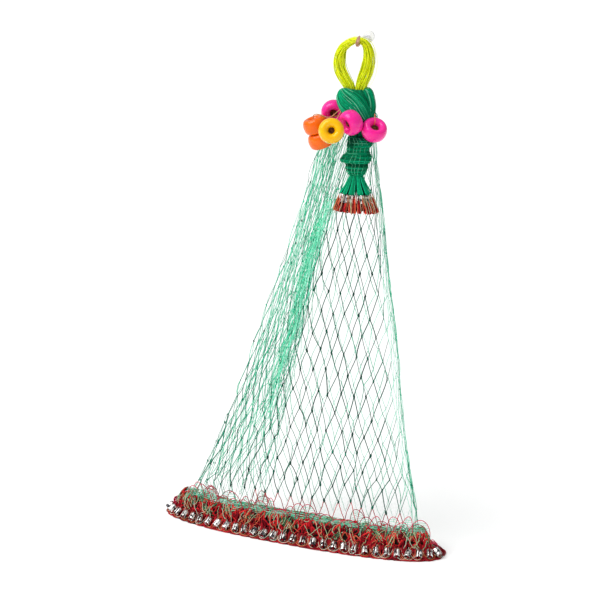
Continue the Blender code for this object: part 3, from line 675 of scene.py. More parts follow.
@dataclass
class HandLine(Seeded):
    """The long lime line, wound into the loop that hangs on the hook."""

    rows: tuple[HankRow, ...] = rows_as(
        HankRow, (0.5, -1.7, 7.6, 15), (11, -5.5, 11, 14), (16.6, -15, 15, 14), (18.2, -30, 18.2, 14),
        (15.0, -46, 20.5, 14.5), (9.6, -59, 19.6, 14.5), (5.2, -72, 16.8, 13), (3.6, -86, 13.6, 12),
        (-4.6, -96, 11, 11), (-12.8, -86, 13.6, 12), (-11.8, -72, 16.2, 13), (-19.6, -59, 18.6, 14.5),
        (-26.6, -46, 20, 14.5), (-28.2, -32, 18, 14), (-23.5, -15, 14.5, 14), (-11, -5.0, 11, 14),
    )
    plane_y: float = -45.0 * MM
    turns: int = 120
    points_a_turn: int = 40
    line_radius: float = 0.45 * MM
    stray_lines: int = 18
    stray_radius: float = 0.15 * MM
    dark_share: float = 0.12
    seed: int = 11

    def __post_init__(self) -> None:
        """Works out the loop's middle line and its breadth at even steps."""
        super().__post_init__()
        fine = smooth(self.rows, 12, closed=True)
        fine = np.concatenate([fine, fine[:1]])
        fine[:, :2] *= MM
        fine[:, 2:] *= 0.5 * MM
        even = along(fine, np.linspace(0.0, 1.0, self.points_a_turn, endpoint=False))
        self._middle = np.stack([even[:, 0], np.full(len(even), self.plane_y), even[:, 1]], axis=1)
        ahead = unit(np.roll(self._middle, -1, axis=0) - np.roll(self._middle, 1, axis=0))
        self._side = np.stack([ahead[:, 2], np.zeros(len(even)), -ahead[:, 0]], axis=1)
        self._half = even[:, 2:]

    def _turn(self, out: np.ndarray, round_to: np.ndarray) -> np.ndarray:
        """One turn of the line at these shares of the hank's radius and these angles."""
        across = (out * np.cos(round_to))[:, None] * self._side * self._half[:, :1]
        deep = np.zeros_like(across)
        deep[:, 1] = out * np.sin(round_to) * self._half[:, 1]
        return self._middle + across + deep

    def _wind(self) -> np.ndarray:
        """The whole line's route, turn after turn."""
        share = np.linspace(0.0, 1.0, self.points_a_turn, endpoint=False)
        outs = np.sqrt(self.draw(0.2, 1.1, self.turns + 1))
        angles = np.cumsum(self.bell(1.1, 0.8, self.turns + 1))
        route = []
        for k in range(self.turns):
            change = np.clip((share - 0.8) / 0.2, 0.0, 1.0)
            change = change * change * (3.0 - 2.0 * change)
            out = outs[k] + (outs[k + 1] - outs[k]) * change
            turn = (angles[k + 1] - angles[k] + math.pi) % TAU - math.pi
            drift = 0.45 * np.sin(TAU * share + self.draw(0.0, TAU))
            route.append(self._turn(out, angles[k] + turn * change + drift))
        return np.concatenate(route)

    def build(self) -> None:
        """Builds the wound line and the stray filaments round it."""
        route = self._wind()
        mesh_of = Strands()
        # Painted shade and highlight: turns of the one lime line are made darker and lighter at random, standing in
        # for dark lines between turns and light streaks on them.
        tone = self.bell(0.6, 0.17, self.turns) - 0.45 * (self.chance(self.turns) < self.dark_share)
        tone = np.repeat(np.clip(tone, 0.0, 1.0), self.points_a_turn)
        mesh_of.tube(route, self.line_radius, tone, sides=5)
        line = mesh_of.piece("hand_line", Finish.HAND_LINE, "hand_line_hank")
        stray = Strands()
        for _ in range(self.stray_lines):
            out = self.draw(0.95, 1.35) + 0.18 * np.sin(shares(self.points_a_turn, TAU) * self.whole(1, 3))
            at = self.draw(0.0, TAU)
            swing = at + 1.1 * np.sin(shares(self.points_a_turn, TAU) + at)
            ring = self._turn(out, swing)
            first = self.whole(0, self.points_a_turn)
            length = int(self.points_a_turn * self.draw(0.35, 0.75))
            stray.tube(np.roll(ring, -first, axis=0)[:length], self.stray_radius, 0.8, sides=4)
        stray.piece("hand_line_stray_filaments", Finish.HAND_LINE)


# ---- sinkers -----------------------------------------------------------------------------


@dataclass(frozen=True)
class RolledTube:
    """A strip of sheet metal rolled into a tube that stays open along one side."""

    radius: float
    wall: float
    length: float
    slit_degrees: float

    def mesh(
        self, name: str, seed: int, centre: np.ndarray, slit: np.ndarray, side: np.ndarray, axis: np.ndarray
    ) -> bpy.types.Mesh:
        """Builds the dented tube in place.

        Args:
            name: The mesh's name.
            seed: What its dents and its slit's width are drawn from.
            centre: The tube's middle.
            slit: The direction that its slit faces.
            side: The direction across both.
            axis: The tube's axis.

        Returns:
            The mesh.
        """
        rng = np.random.default_rng(seed)
        half = math.radians(self.slit_degrees * rng.uniform(0.6, 1.2)) / 2
        sweep = np.linspace(half, TAU - half, 26)
        places = np.array([-0.5, -0.485, -0.3, -0.1, 0.1, 0.3, 0.485, 0.5])
        flat = rng.uniform(-0.07, 0.07)
        phase = rng.uniform(0.0, TAU)
        rings = []
        for place_on in places:
            edge = 0.25 if abs(place_on) > 0.49 else 0.0
            dent = 1.0 + flat * np.cos(2 * (sweep - phase)) + 0.025 * np.sin(5 * sweep + 9 * place_on + phase)
            outer = self.radius * dent * 0.99 - edge * self.wall
            inner = outer - self.wall * (1.0 - 2 * edge)
            radii = np.concatenate([outer, inner[::-1]])
            angles = np.concatenate([sweep, sweep[::-1]])
            step = axis * (place_on * self.length)
            spokes = np.cos(angles)[:, None] * slit + np.sin(angles)[:, None] * side
            rings.append(centre + step + spokes * radii[:, None])
        return skinned_strip(name, np.array(rings))


def skinned_strip(name: str, rings: np.ndarray) -> bpy.types.Mesh:
    """A rolled strip's closed mesh: ring ends are joined as bands, not as one flat cap."""
    count, around = rings.shape[:2]
    faces = grid_faces(count, around, False).tolist()
    last = (count - 1) * around
    for i in range(around // 2 - 1):
        j = around - 1 - i
        faces.append([i, j, j - 1, i + 1])
        faces.append([last + i, last + i + 1, last + j - 1, last + j])
    return made_mesh(name, rings, faces)


# ---- the knotted crown and the tail ------------------------------------------------------


class LevelRow(NamedTuple):
    """A level of a body: its height, its sides and how deep its flutes are."""

    z: float
    left: float
    right: float
    front: float
    back: float
    lobe: float


class FoldRow(NamedTuple):
    """A place along a fold: its middle, its width and its thickness."""

    x: float
    y: float
    z: float
    width: float
    thickness: float


def level_rings(
    rows: Sequence[LevelRow], steps: int, around: int, lobes: int, squareness: float,
    ripple: Callable[[np.ndarray, np.ndarray], np.ndarray],
) -> np.ndarray:
    """Rings of a body from a table of levels.

    Args:
        rows: The levels.
        steps: Rings to each interval.
        around: Points in a ring.
        lobes: Flutes round the body.
        squareness: 1 for an oval section, less for a boxier one.
        ripple: Gives each point's own scale from its angle and ring number.

    Returns:
        Points as rings by points round by three.
    """
    fine = smooth(rows, steps)
    angle = TAU * np.arange(around) / around
    across, through = squared(angle, squareness)
    rings = []
    for i, (z, left, right, front, back, lobe) in enumerate(fine):
        flute = 1.0 - lobe * (0.5 - 0.5 * np.cos(lobes * angle))
        scale = flute * ripple(angle, np.full(around, i / (len(fine) - 1)))
        x = (left + right) / 2 + across * (right - left) / 2 * scale
        y = (front + back) / 2 + through * (back - front) / 2 * scale
        rings.append(np.stack([x, y, np.full(around, z)], axis=1) * MM)
    return np.array(rings)


def fold_frame(rows: Sequence[FoldRow], steps: int) -> tuple[np.ndarray, np.ndarray, np.ndarray, np.ndarray]:
    """A fold's middle line, sideways and outward directions, and half sizes."""
    fine = smooth(rows, steps)
    line = fine[:, :3] * MM
    ahead = unit(np.gradient(line, axis=0))
    side = unit(np.cross(ahead, np.array([0.0, -1.0, 0.0])))
    out = unit(np.cross(side, ahead))
    return line, side, out, fine[:, 3:] * (0.5 * MM)


@dataclass
class CrownKnot(Seeded):
    """The top of the net, folded over and knotted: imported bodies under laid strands."""

    core: tuple[LevelRow, ...] = rows_as(
        LevelRow, (-74, -12, 11, -56, -37, 0), (-80, -19, 17, -60, -33, 0), (-92, -20, 23, -62, -31, 0),
        (-106, -19, 24, -62, -30, 0), (-120, -17, 22, -62, -30, 0), (-133, -14, 20, -61, -32, 0),
        (-143, -9, 18, -60, -38, 0),
    )
    front_fold: tuple[FoldRow, ...] = rows_as(
        FoldRow, (-22, -49, -77, 10, 9), (-17.5, -56, -82, 24, 15), (-8, -62, -90, 34, 17), (4, -65, -99, 38, 17),
        (13, -63, -109, 34, 16), (18, -56, -118, 22, 13), (20, -50, -125, 8, 6),
    )
    back_fold: tuple[FoldRow, ...] = rows_as(
        FoldRow, (9.5, -43, -74, 5, 7), (16, -43, -77, 12, 15), (20.5, -43, -90, 12.5, 18),
        (21, -43, -105, 12.5, 18), (18, -45, -118, 10, 15), (13, -47, -127, 4, 7),
    )
    strand_radius: float = 0.32 * MM
    strands_a_fold: int = 300
    core_strands: int = 130
    around: int = 96
    fold_around: int = 72
    bundles: int = 90
    loose_share: float = 0.06
    pale_share: float = 0.08
    seed: int = 23

    def _fold_body(self, name: str, rows: Sequence[FoldRow]) -> None:
        """Builds one fold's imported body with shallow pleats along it."""
        line, side, out, half = fold_frame(rows, 6)
        angle = TAU * np.arange(self.fold_around) / self.fold_around
        places = shares(len(line))
        rings = []
        for i, place_on in enumerate(places):
            pleat = 0.93 + 0.045 * np.sin(11 * angle + 2.0 * place_on) + 0.03 * np.sin(23 * angle + 5.0 * place_on)
            reach = np.cos(angle)[:, None] * side[i] * half[i, 0] + np.sin(angle)[:, None] * out[i] * half[i, 1]
            rings.append(line[i] + reach * pleat[:, None])
        place(name, skinned(name, np.array(rings)), Finish.KNOT_BODY)

    def _lay_on_fold(self, strands: Strands, rows: Sequence[FoldRow], count: int) -> None:
        """Lays strands along a fold, close to its surface, with a few lifting off."""
        line, side, out, half = fold_frame(rows, 5)
        places = shares(len(line))
        bundles = self.bell(0.0, 0.22, self.bundles)
        for _ in range(count):
            start = self.draw(0.0, TAU)
            loose = self.draw(0.03, 0.2) if self.chance() < self.loose_share else 0.0
            lift = 1.0 + abs(self.bell(0.0, 0.025)) + loose
            angle = start + self.draw(-0.35, 0.35) * places + 0.05 * np.sin(TAU * 2 * places + start)
            reach = np.cos(angle)[:, None] * side * half[:, :1] + np.sin(angle)[:, None] * out * half[:, 1:]
            route = self.loosened(line + reach * lift, 0.25 * MM, 2.0)
            first = self.whole(0, 5)
            last = len(line) - self.whole(0, 5)
            bundle = bundles[int(self.bundles * start / TAU) % self.bundles]
            tone = np.clip(0.60 + bundle + self.bell(0.0, 0.12), 0.03, 0.96)
            # Painted shade: strands near the fold's two edges are darkened by up to half.
            tone *= 1.0 - 0.5 * abs(math.cos(start)) ** 6
            # Painted highlight: a few short strands are made near white, as light streaks along the fold.
            if self.chance() < self.pale_share:
                tone = self.draw(0.9, 1.0)
                first = self.whole(0, len(line) // 2)
                last = first + self.whole(4, len(line) // 2)
            strands.tube(route[first:last], self.strand_radius * (0.7 if loose else 1.0), tone, sides=4)

    def build(self) -> None:
        """Builds the core, the two folds and the strands laid on all three."""
        rings = level_rings(
            self.core, 4, self.around, 1, 1.0,
            lambda angle, height: 0.95 + 0.03 * np.sin(17 * angle + 4 * height) + 0.02 * np.sin(41 * angle),
        )
        place("crown_core", skinned("crown_core", rings), Finish.KNOT_BODY, "crown_knot")
        self._fold_body("crown_front_fold", self.front_fold)
        self._fold_body("crown_back_fold", self.back_fold)
        strands = Strands()
        self._lay_on_fold(strands, self.front_fold, self.strands_a_fold)
        self._lay_on_fold(strands, self.back_fold, self.strands_a_fold // 2)
        for _ in range(self.core_strands):
            column = self.whole(0, self.around)
            drift = self.draw(-6.0, 6.0)
            picks = (column + drift * shares(len(rings))).astype(int) % self.around
            route = rings[np.arange(len(rings)), picks]
            middle = rings.mean(axis=1)
            route = middle + (route - middle) * (1.05 + abs(self.bell(0.0, 0.03)))
            route = self.loosened(smooth(route[::3], 3), 0.3 * MM, 3.0)
            strands.tube(route, self.strand_radius, np.clip(self.bell(0.35, 0.2), 0.0, 0.9), sides=4)
        strands.piece("crown_strands", Finish.KNOT_TWINE)


@dataclass
class TailNet(Seeded):
    """The small gathered net under the knot: pleated body, strings, tapes, tubes and loops."""

    rows: tuple[LevelRow, ...] = rows_as(
        LevelRow, (-143.3, -7, 20, -68, -46, 0.02), (-147, -7.5, 27, -71, -45, 0.04),
        (-150.5, -8, 31, -72, -45, 0.03), (-155, -8, 29, -73, -45, 0.04), (-160.5, -8.5, 25.5, -71, -46, 0.03),
        (-166, -9.5, 26.5, -73, -45, 0.04), (-171.5, -15.5, 29.5, -72, -46, 0.03),
        (-177, -19.5, 29, -73, -46, 0.03), (-180, -19.5, 26.5, -71, -47, 0.03), (-183, -11.5, 23.5, -68, -49, 0.02),
        (-188, -10.5, 24, -73, -45, 0.05), (-193.5, -9.5, 21.5, -72.5, -45, 0.07),
        (-198, -5.5, 18.5, -70, -48, 0.1), (-201.5, -2.5, 16.5, -67.5, -51, 0.12),
    )
    strand_radius: float = 0.3 * MM
    tapes: int = 11
    tape_top: float = -201.0 * MM
    tape_foot: float = -228.0 * MM
    neck: tuple[float, float, float, float] = (6.3 * MM, -59.5 * MM, 9.6 * MM, 8.0 * MM)
    foot: tuple[float, float, float, float] = (7.0 * MM, -64.0 * MM, 25.0 * MM, 16.0 * MM)
    tube_top: float = -226.6 * MM
    tube: RolledTube = RolledTube(radius=2.8 * MM, wall=0.8 * MM, length=13.0 * MM, slit_degrees=30.0)
    tube_ring: tuple[float, float] = (23.5 * MM, 15.0 * MM)
    tubes: int = 9
    first_degrees: float = 190.0
    sweep_degrees: float = 160.0
    line_ring: tuple[float, float] = (31.5 * MM, 16.6 * MM)
    cord_radius: float = 0.85 * MM
    loops: int = 24
    pleats: int = 13
    around: int = 120
    loop_rings: tuple[tuple[float, float], ...] = (
        (25.0, 15.0), (30.5, 16.2), (34.5, 17.2), (35.0, 17.4), (31.0, 15.6), (26.0, 13.6)
    )
    loop_sway: tuple[float, ...] = (0.0, 0.3, 0.8, 1.0, 1.2, 1.0)
    loop_tones: tuple[float, ...] = (0.08, 0.2, 0.36, 0.55, 0.88)
    pale_tones: tuple[float, ...] = (0.2, 0.34, 0.5, 0.66, 0.85)
    pale_radius: float = 0.34 * MM
    body_section: tuple[tuple[float, float], ...] = (
        (-9, -3.5), (-1, -3.0), (1.0, -5.5), (1.6, -9.5), (-1, -11.5), (-5, -11.5), (-8, -9), (-10, -6)
    )
    inner_strands: int = 44
    threads_a_tape: int = 13
    cords_a_loop: int = 5
    pale_a_loop: int = 3
    down_strings: int = 44
    pale_columns: tuple[int, ...] = (79, 88, 92, 98, 107, 20, 47)
    tube_seed: int = 100
    seed: int = 37

    def _body(self) -> np.ndarray:
        """Builds the pleated body and returns its rings."""
        rings = level_rings(
            self.rows, 8, self.around, 12, 0.85,
            lambda angle, height: 0.92 + 0.08 * self._lip(height) + 0.02 * np.sin(29 * angle + 9 * height),
        )
        place("tail_body", skinned("tail_body", rings), Finish.KNOT_BODY, "tail_netting")
        return rings

    def _lip(self, height: np.ndarray | float) -> np.ndarray | float:
        """How near a height's share is to the lip of a pleat: 1 on it, 0 in the hollow."""
        return 1.0 - np.abs(np.sin(math.pi * self.pleats * np.asarray(height)))

    def _shadow(self, point: np.ndarray) -> float:
        """How much light a place on the body gets, as painted shade: less below the floats and in its waist."""
        x, z = point[0] / MM, point[2] / MM
        waist = max(0.0, 1.0 - abs(z + 183.5) / 3.4)
        under = np.clip((z + 160.0) / 6.0, 0.0, 1.0) * np.clip((17.0 - x) / 8.0, 0.0, 1.0)
        return float(1.0 - 0.8 * max(waist, under))

    def _strings(self, rings: np.ndarray) -> None:
        """Lays mesh rows round the pleats, and light strings down them."""
        strands = Strands()
        middle = rings.mean(axis=1, keepdims=True)
        swollen = middle + (rings - middle) * 1.03
        count = len(rings)
        for k in range(1, count - 1):
            lip = float(self._lip(k / (count - 1)))
            for first in (0, 30, 60, 90):
                begin = first + self.whole(-6, 6)
                picks = (begin + np.arange(0, self.whole(22, 36), 2)) % self.around
                route = self.loosened(swollen[k, picks], 0.3 * MM, 1.5)
                light = self._shadow(route[len(route) // 2])
                # Painted shade and highlight: rows are brighter on the pleat lips and darker in the hollows, and
                # darkened below the floats and in the waist.
                tone = np.clip((0.28 + 0.5 * lip + self.bell(0.0, 0.12)) * light, 0.0, 0.9)
                strands.tube(route, self.strand_radius, tone, sides=4)
        for column in self.pick(self.around, self.down_strings, replace=False):
            drift = self.draw(-5.0, 5.0)
            picks = (column + drift * shares(count)).astype(int) % self.around
            route = self.loosened(smooth(swollen[np.arange(count), picks][::6], 4), 0.3 * MM, 4.0)
            # Painted shade: darkened below the floats and in the waist.
            tone = np.clip([self.bell(0.45, 0.1) * self._shadow(point) for point in route], 0.0, 0.8)
            strands.tube(route, self.strand_radius, tone, sides=4)
        for column in self.pale_columns:
            out = swollen[:, column] + unit(swollen[:, column] - middle[:, 0]) * 0.3 * MM
            route = self.loosened(smooth(out[::9], 6), 0.3 * MM, 3.0)
            strands.tube(route, self.strand_radius * 0.9, 0.93, sides=4)
        strands.piece("tail_strings", Finish.KNOT_TWINE)

    def _oval(self, ring: tuple[float, float, float, float], angle: float, z: float) -> np.ndarray:
        """A point of an oval given by its middle and half sizes."""
        return np.array([ring[0] + ring[2] * math.cos(angle), ring[1] + ring[3] * math.sin(angle), z])

    def _tapes(self) -> None:
        """Builds the flat tapes that flare from the tied neck to the tubes, apart at their feet, with near-black
        strands inside as painted shade.
        """
        strands = Strands()
        share = shares(8)[:, None]
        inner = (self.foot[0], self.foot[1], 0.84 * self.foot[2], 0.84 * self.foot[3])
        # Painted shade: thick near-black strands fill the inside of the ring of tapes, so that the gaps between the
        # tapes show dark.
        for k in range(self.inner_strands):
            start = self._oval(self.neck, TAU * k / self.inner_strands, self.tape_top - 1.0 * MM)
            end = self._oval(inner, TAU * k / self.inner_strands, self.tape_foot)
            strands.tube(start + (end - start) * share**1.15, 1.2 * MM, 0.03, sides=5)
        for k in range(self.tapes):
            angle = TAU * (k + 0.35 + self.draw(-0.15, 0.15)) / self.tapes
            foot = self.tape_foot + self.draw(-1.5, 2.5) * MM
            twist = self.draw(-0.5, 0.5) * MM
            deep = self.draw(0.34, 0.58)
            for j in range(self.threads_a_tape):
                spread = (j - self.threads_a_tape // 2) / (self.threads_a_tape // 2)
                start = self._oval(self.neck, angle + 0.17 * spread, self.tape_top + 1.5 * MM)
                end = self._oval(self.foot, angle + 0.17 * spread, foot + 2.0 * MM * spread**2)
                bow = np.array([[0.0, 0.0, -1.0]]) * 2.4 * MM * np.sin(math.pi * share)
                bow = bow + np.array([[0.0, -1.0, 0.0]]) * twist * spread * share
                route = self.loosened(start + (end - start) * share**1.15 + bow, 0.2 * MM, 1.5)
                tone = 0.80 if abs(spread) > 0.9 else deep - 0.16 * spread + self.bell(0.0, 0.08)
                strands.tube(route, 0.52 * MM, float(np.clip(tone, 0.0, 1.0)), sides=5)
        for j in range(3):
            z = self.tape_top + (0.9 - 0.9 * j) * MM
            angles = np.linspace(0.0, TAU, 40, endpoint=False)
            ring = np.stack([self._oval(self.neck, a, z) for a in angles])
            centre = ring.mean(axis=0)
            strands.tube(centre + (ring - centre) * 1.05, 0.4 * MM, 0.35 + 0.1 * j, sides=5, closed=True)
        strands.piece("tail_tapes", Finish.KNOT_TWINE)

    def _foot_cords(self) -> None:
        """Builds the red loops that hang in a fan under the tubes, and the pale strands between them."""
        cords = Strands()
        pale = Strands()
        top = self.tube_top - self.tube.length
        for k in range(self.loops):
            angle = TAU * (k + 0.5) / self.loops + self.draw(-0.04, 0.04)
            for _ in range(self.cords_a_loop):
                levels = (self.tube_top / MM - self.draw(5.0, 9.0), top / MM - 2.0, top / MM - 8.5)
                levels += (top / MM - 12.5, top / MM - self.draw(13.0, 15.0), top / MM - 9.0)
                turn = angle + self.bell(0.0, 0.035) + np.array(self.loop_sway) * self.bell(0.0, 0.05)
                ring = [
                    self._oval((self.foot[0] + 1.2 * MM, self.foot[1], wide * MM, deep * MM), at, z * MM)
                    for (wide, deep), at, z in zip(self.loop_rings, turn, levels)
                ]
                route = self.loosened(smooth(ring, 3), 0.4 * MM, 2.0)
                tone = self.pick(self.loop_tones)
                cords.tube(route, self.cord_radius * self.draw(0.8, 1.15), tone, sides=6)
        for k in range(self.loops):
            angle = TAU * k / self.loops + self.draw(-0.04, 0.04)
            for _ in range(self.pale_a_loop):
                z = np.linspace(self.tube_top - 1.0 * MM, top - self.draw(11.0, 17.0) * MM, 7)
                turn = angle + self.bell(0.0, 0.05) + self.bell(0.0, 0.08) * shares(7)
                wide = np.interp(z, [top - 12 * MM, self.tube_top], [36.4 * MM, 26.0 * MM])
                route = [
                    self._oval((self.foot[0] + 1.0 * MM, self.foot[1], w, w * 0.36 + 6.6 * MM), a, h)
                    for w, a, h in zip(wide, turn, z)
                ]
                route = self.loosened(smooth(route, 2), 0.5 * MM, 1.5)
                pale.tube(route, self.pale_radius, self.pick(self.pale_tones), sides=4)
        cords.piece("tail_cord_loops", Finish.RED_TWINE)
        pale.piece("tail_pale_strands", Finish.TAN_TWINE)

    def _cord_body(self) -> None:
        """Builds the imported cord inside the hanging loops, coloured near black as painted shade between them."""
        section = self.body_section
        rings = []
        for angle in np.linspace(0.0, TAU, 90, endpoint=False):
            out = np.array([math.cos(angle), math.sin(angle), 0.0])
            base = self._oval((*self.foot[:2], *self.line_ring), angle, self.tube_top - self.tube.length)
            lump = 1.0 + 0.10 * math.cos(17 * angle) + 0.05 * math.sin(41 * angle)
            rings.append([base + out * (o * 0.55 * MM) + np.array([0, 0, z * MM * lump]) for o, z in section])
        mesh = skinned("tail_cord_body", np.array(rings), closed=True)
        place("tail_cord_body", mesh, Finish.CORD_BODY, "tail_lead_line")

    def _tube_pieces(self) -> None:
        """Builds the small tubes, each standing for its own solid."""
        for k in range(self.tubes):
            angle = math.radians(self.first_degrees + self.sweep_degrees * k / (self.tubes - 1))
            centre = self._oval((*self.foot[:2], *self.tube_ring), angle, self.tube_top - self.tube.length / 2)
            out = np.array([math.cos(angle), math.sin(angle), 0.0])
            side = np.array([-math.sin(angle), math.cos(angle), 0.0])
            mesh = self.tube.mesh(f"tail_tube_{k + 1:02d}", self.tube_seed + k, centre, out, side, UP)
            place(mesh.name, mesh, Finish.SINKER, f"tail_sinker_{k + 1:02d}")

    def build(self) -> None:
        """Builds every part of the tail."""
        self._strings(self._body())
        self._tapes()
        self._foot_cords()
        self._cord_body()
        self._tube_pieces()


# ---- floats and their twines -------------------------------------------------------------


class FloatRow(NamedTuple):
    """A float: its CAD node, its finish, and its hole's direction and radius."""

    node: str
    finish: Finish
    axis: Point
    hole: float


@dataclass
class RingFloats:
    """The moulded ring floats, each a turned ring with a flared hole and a mould line."""

    rows: tuple[FloatRow, ...] = (
        FloatRow("float_magenta_rear", Finish.MAGENTA, (0.39, -0.90, -0.20), 5.0),
        FloatRow("float_magenta_centre", Finish.MAGENTA, (-0.45, -0.84, -0.32), 5.0),
        FloatRow("float_magenta_right", Finish.MAGENTA, (0.43, -0.53, 0.73), 5.0),
        FloatRow("float_yellow", Finish.YELLOW, (0.41, -0.88, 0.24), 4.0),
        FloatRow("float_orange_upper", Finish.ORANGE, (-0.26, -0.20, 0.94), 5.0),
        FloatRow("float_orange_lower", Finish.ORANGE, (-0.26, -0.20, 0.94), 5.0),
    )
    radius: float = 19.0 * MM
    thickness: float = 23.0 * MM
    around: int = 72
    section: int = 40
    squareness: float = 0.92
    mould_line: float = 0.12 * MM

    def _mesh(self, name: str, centre: np.ndarray, axis: np.ndarray, hole: float) -> bpy.types.Mesh:
        """Builds one ring about its own axis, round a hole of that radius."""
        pole = unit(axis)
        first = unit(np.cross(pole, np.array([0.0, 1.0, 0.0])))
        second = np.cross(pole, first)
        reach = (self.radius - hole) / 2
        middle = hole + reach
        angle = TAU * np.arange(self.section) / self.section
        out, up = squared(angle, self.squareness)
        line = self.mould_line * np.exp(-((np.sin(angle) / 0.09) ** 2)) * (np.cos(angle) > 0)
        rings = []
        for turn in TAU * np.arange(self.around) / self.around:
            spoke = first * math.cos(turn) + second * math.sin(turn)
            across = middle + (reach - self.mould_line) * out + line
            rings.append(centre + across[:, None] * spoke + (up * self.thickness / 2)[:, None] * pole)
        return skinned(name, np.array(rings), closed=True)

    def build(self) -> None:
        """Builds each float where its solid is."""
        for row in self.rows:
            low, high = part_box(row.node)
            centre = (np.array(low) + np.array(high)) / 2
            name = row.node.replace("float_", "ring_float_")
            mesh = self._mesh(name, centre, np.array(row.axis), row.hole * MM)
            place(name, mesh, row.finish, row.node)


class TwineRow(NamedTuple):
    """A twine: its CAD node, its tone, its far end, the float it is knotted in and its route."""

    node: str
    tone: float
    far_end: str
    knotted_in: str | None
    route: tuple[Point, ...]


@dataclass
class FloatTwines:
    """The thin twines that hang the floats on the knot."""

    rows: tuple[TwineRow, ...] = (
        TwineRow(
            "twine_rear", 0.2, "object", "float_magenta_rear",
            (
                (-10, -50, -106), (-17, -57, -109.5), (-23, -64, -112.5), (-28.5, -65.5, -112.9),
                (-32, -58.5, -111.3), (-35, -51, -109.5), (-38, -44.2, -107.9), (-41, -37.5, -107),
                (-44, -33, -109), (-46, -31, -113),
            ),
        ),
        TwineRow(
            "twine_orange", 0.42, "object", None,
            (
                (-11, -54, -95), (-15.6, -61, -99.3), (-20.6, -71, -105.8), (-27, -79, -112.3),
                (-32.8, -84, -112.3), (-39.6, -87, -109.4), (-46, -88, -108.3), (-51, -87.2, -110),
                (-52.5, -86.3, -114.5), (-49.5, -84, -125.1), (-46.4, -81.6, -136.2), (-43.3, -79.3, -147.4),
                (-40.2, -76.9, -158.5),
            ),
        ),
        TwineRow(
            "twine_yellow", 0.4, "object", "float_yellow",
            (
                (-11, -55, -99), (-16.3, -63, -102.1), (-16.5, -70, -107.9), (-17.5, -79, -115),
                (-18.7, -88, -121.5), (-18.4, -95.5, -126.6), (-16.8, -101.2, -127.7), (-12.2, -111.1, -124.0),
                (-10.1, -115.5, -122.8),
            ),
        ),
        TwineRow(
            "twine_centre", 0.15, "object", "float_magenta_centre",
            (
                (13, -57, -108), (14, -63.5, -110.5), (12.3, -70.7, -114.2), (9.3, -76.4, -116.4),
                (6.3, -82, -118.5), (2.2, -89.6, -121.4),
            ),
        ),
        TwineRow(
            "twine_right", 0.28, "bare", "float_magenta_right",
            (
                (15, -48, -124), (20.5, -49, -134), (24.5, -50.5, -141.5), (29.2, -55, -140), (31.3, -57.2, -134),
                (33.5, -59.8, -127.7), (36, -63.3, -121), (38.2, -66.2, -116.3), (37.2, -64.6, -111.5),
                (35.5, -61.5, -106.5),
            ),
        ),
    )
    radius: float = 0.7 * MM
    knot_depth: float = 2.0 * MM
    seed: int = 53

    def _knot(self, name: str, row: FloatRow) -> bpy.types.Object:
        """Builds the tied knot that fills a float's hole: loops of twine pulled tight round each other, coloured
        near black, darker than its twine, as painted shade in the hole.
        """
        rng = np.random.default_rng(self.seed)
        low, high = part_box(row.node)
        pole = unit(np.array(row.axis))
        centre = (np.array(low) + np.array(high)) / 2 + pole * self.knot_depth
        loops = Strands()
        turn = shares(17, TAU)[:-1, None]
        for k in range(14):
            axis = pole if k % 3 == 0 else unit(rng.normal(0.0, 1.0, 3))
            first = unit(np.cross(axis, np.array([0.3, 0.2, 1.0])))
            second = np.cross(axis, first)
            reach = (row.hole - 0.7) * MM if k % 3 == 0 else row.hole * MM * rng.uniform(0.3, 0.8)
            ring = centre + reach * (np.cos(turn) * first + np.sin(turn) * second)
            ring = ring + pole * rng.normal(-1.5, 1.0) * MM
            # Painted shade: the knot is made near black, darker than its twine, to fill the hole with shade.
            loops.tube(ring, 1.2 * MM, rng.uniform(0.0, 0.08), sides=6, closed=True)
        return loops.piece(name, Finish.TAN_TWINE)

    def build(self) -> None:
        floats = {row.node: row for row in RingFloats().rows}
        for row in self.rows:
            route = smooth(row.route, 8) * MM
            strands = Strands()
            strands.tube(route, self.radius, row.tone, sides=8)
            name = row.node.replace("twine_", "float_twine_")
            twine = strands.piece(name, Finish.TAN_TWINE, row.node)
            knots = [self._knot(f"{name}_knot", floats[row.knotted_in])] if row.knotted_in else []


# ---- the net -----------------------------------------------------------------------------


class NetRow(NamedTuple):
    """A level of the net: its height and the places of its four sides."""

    z: float
    left: float
    right: float
    front: float
    back: float


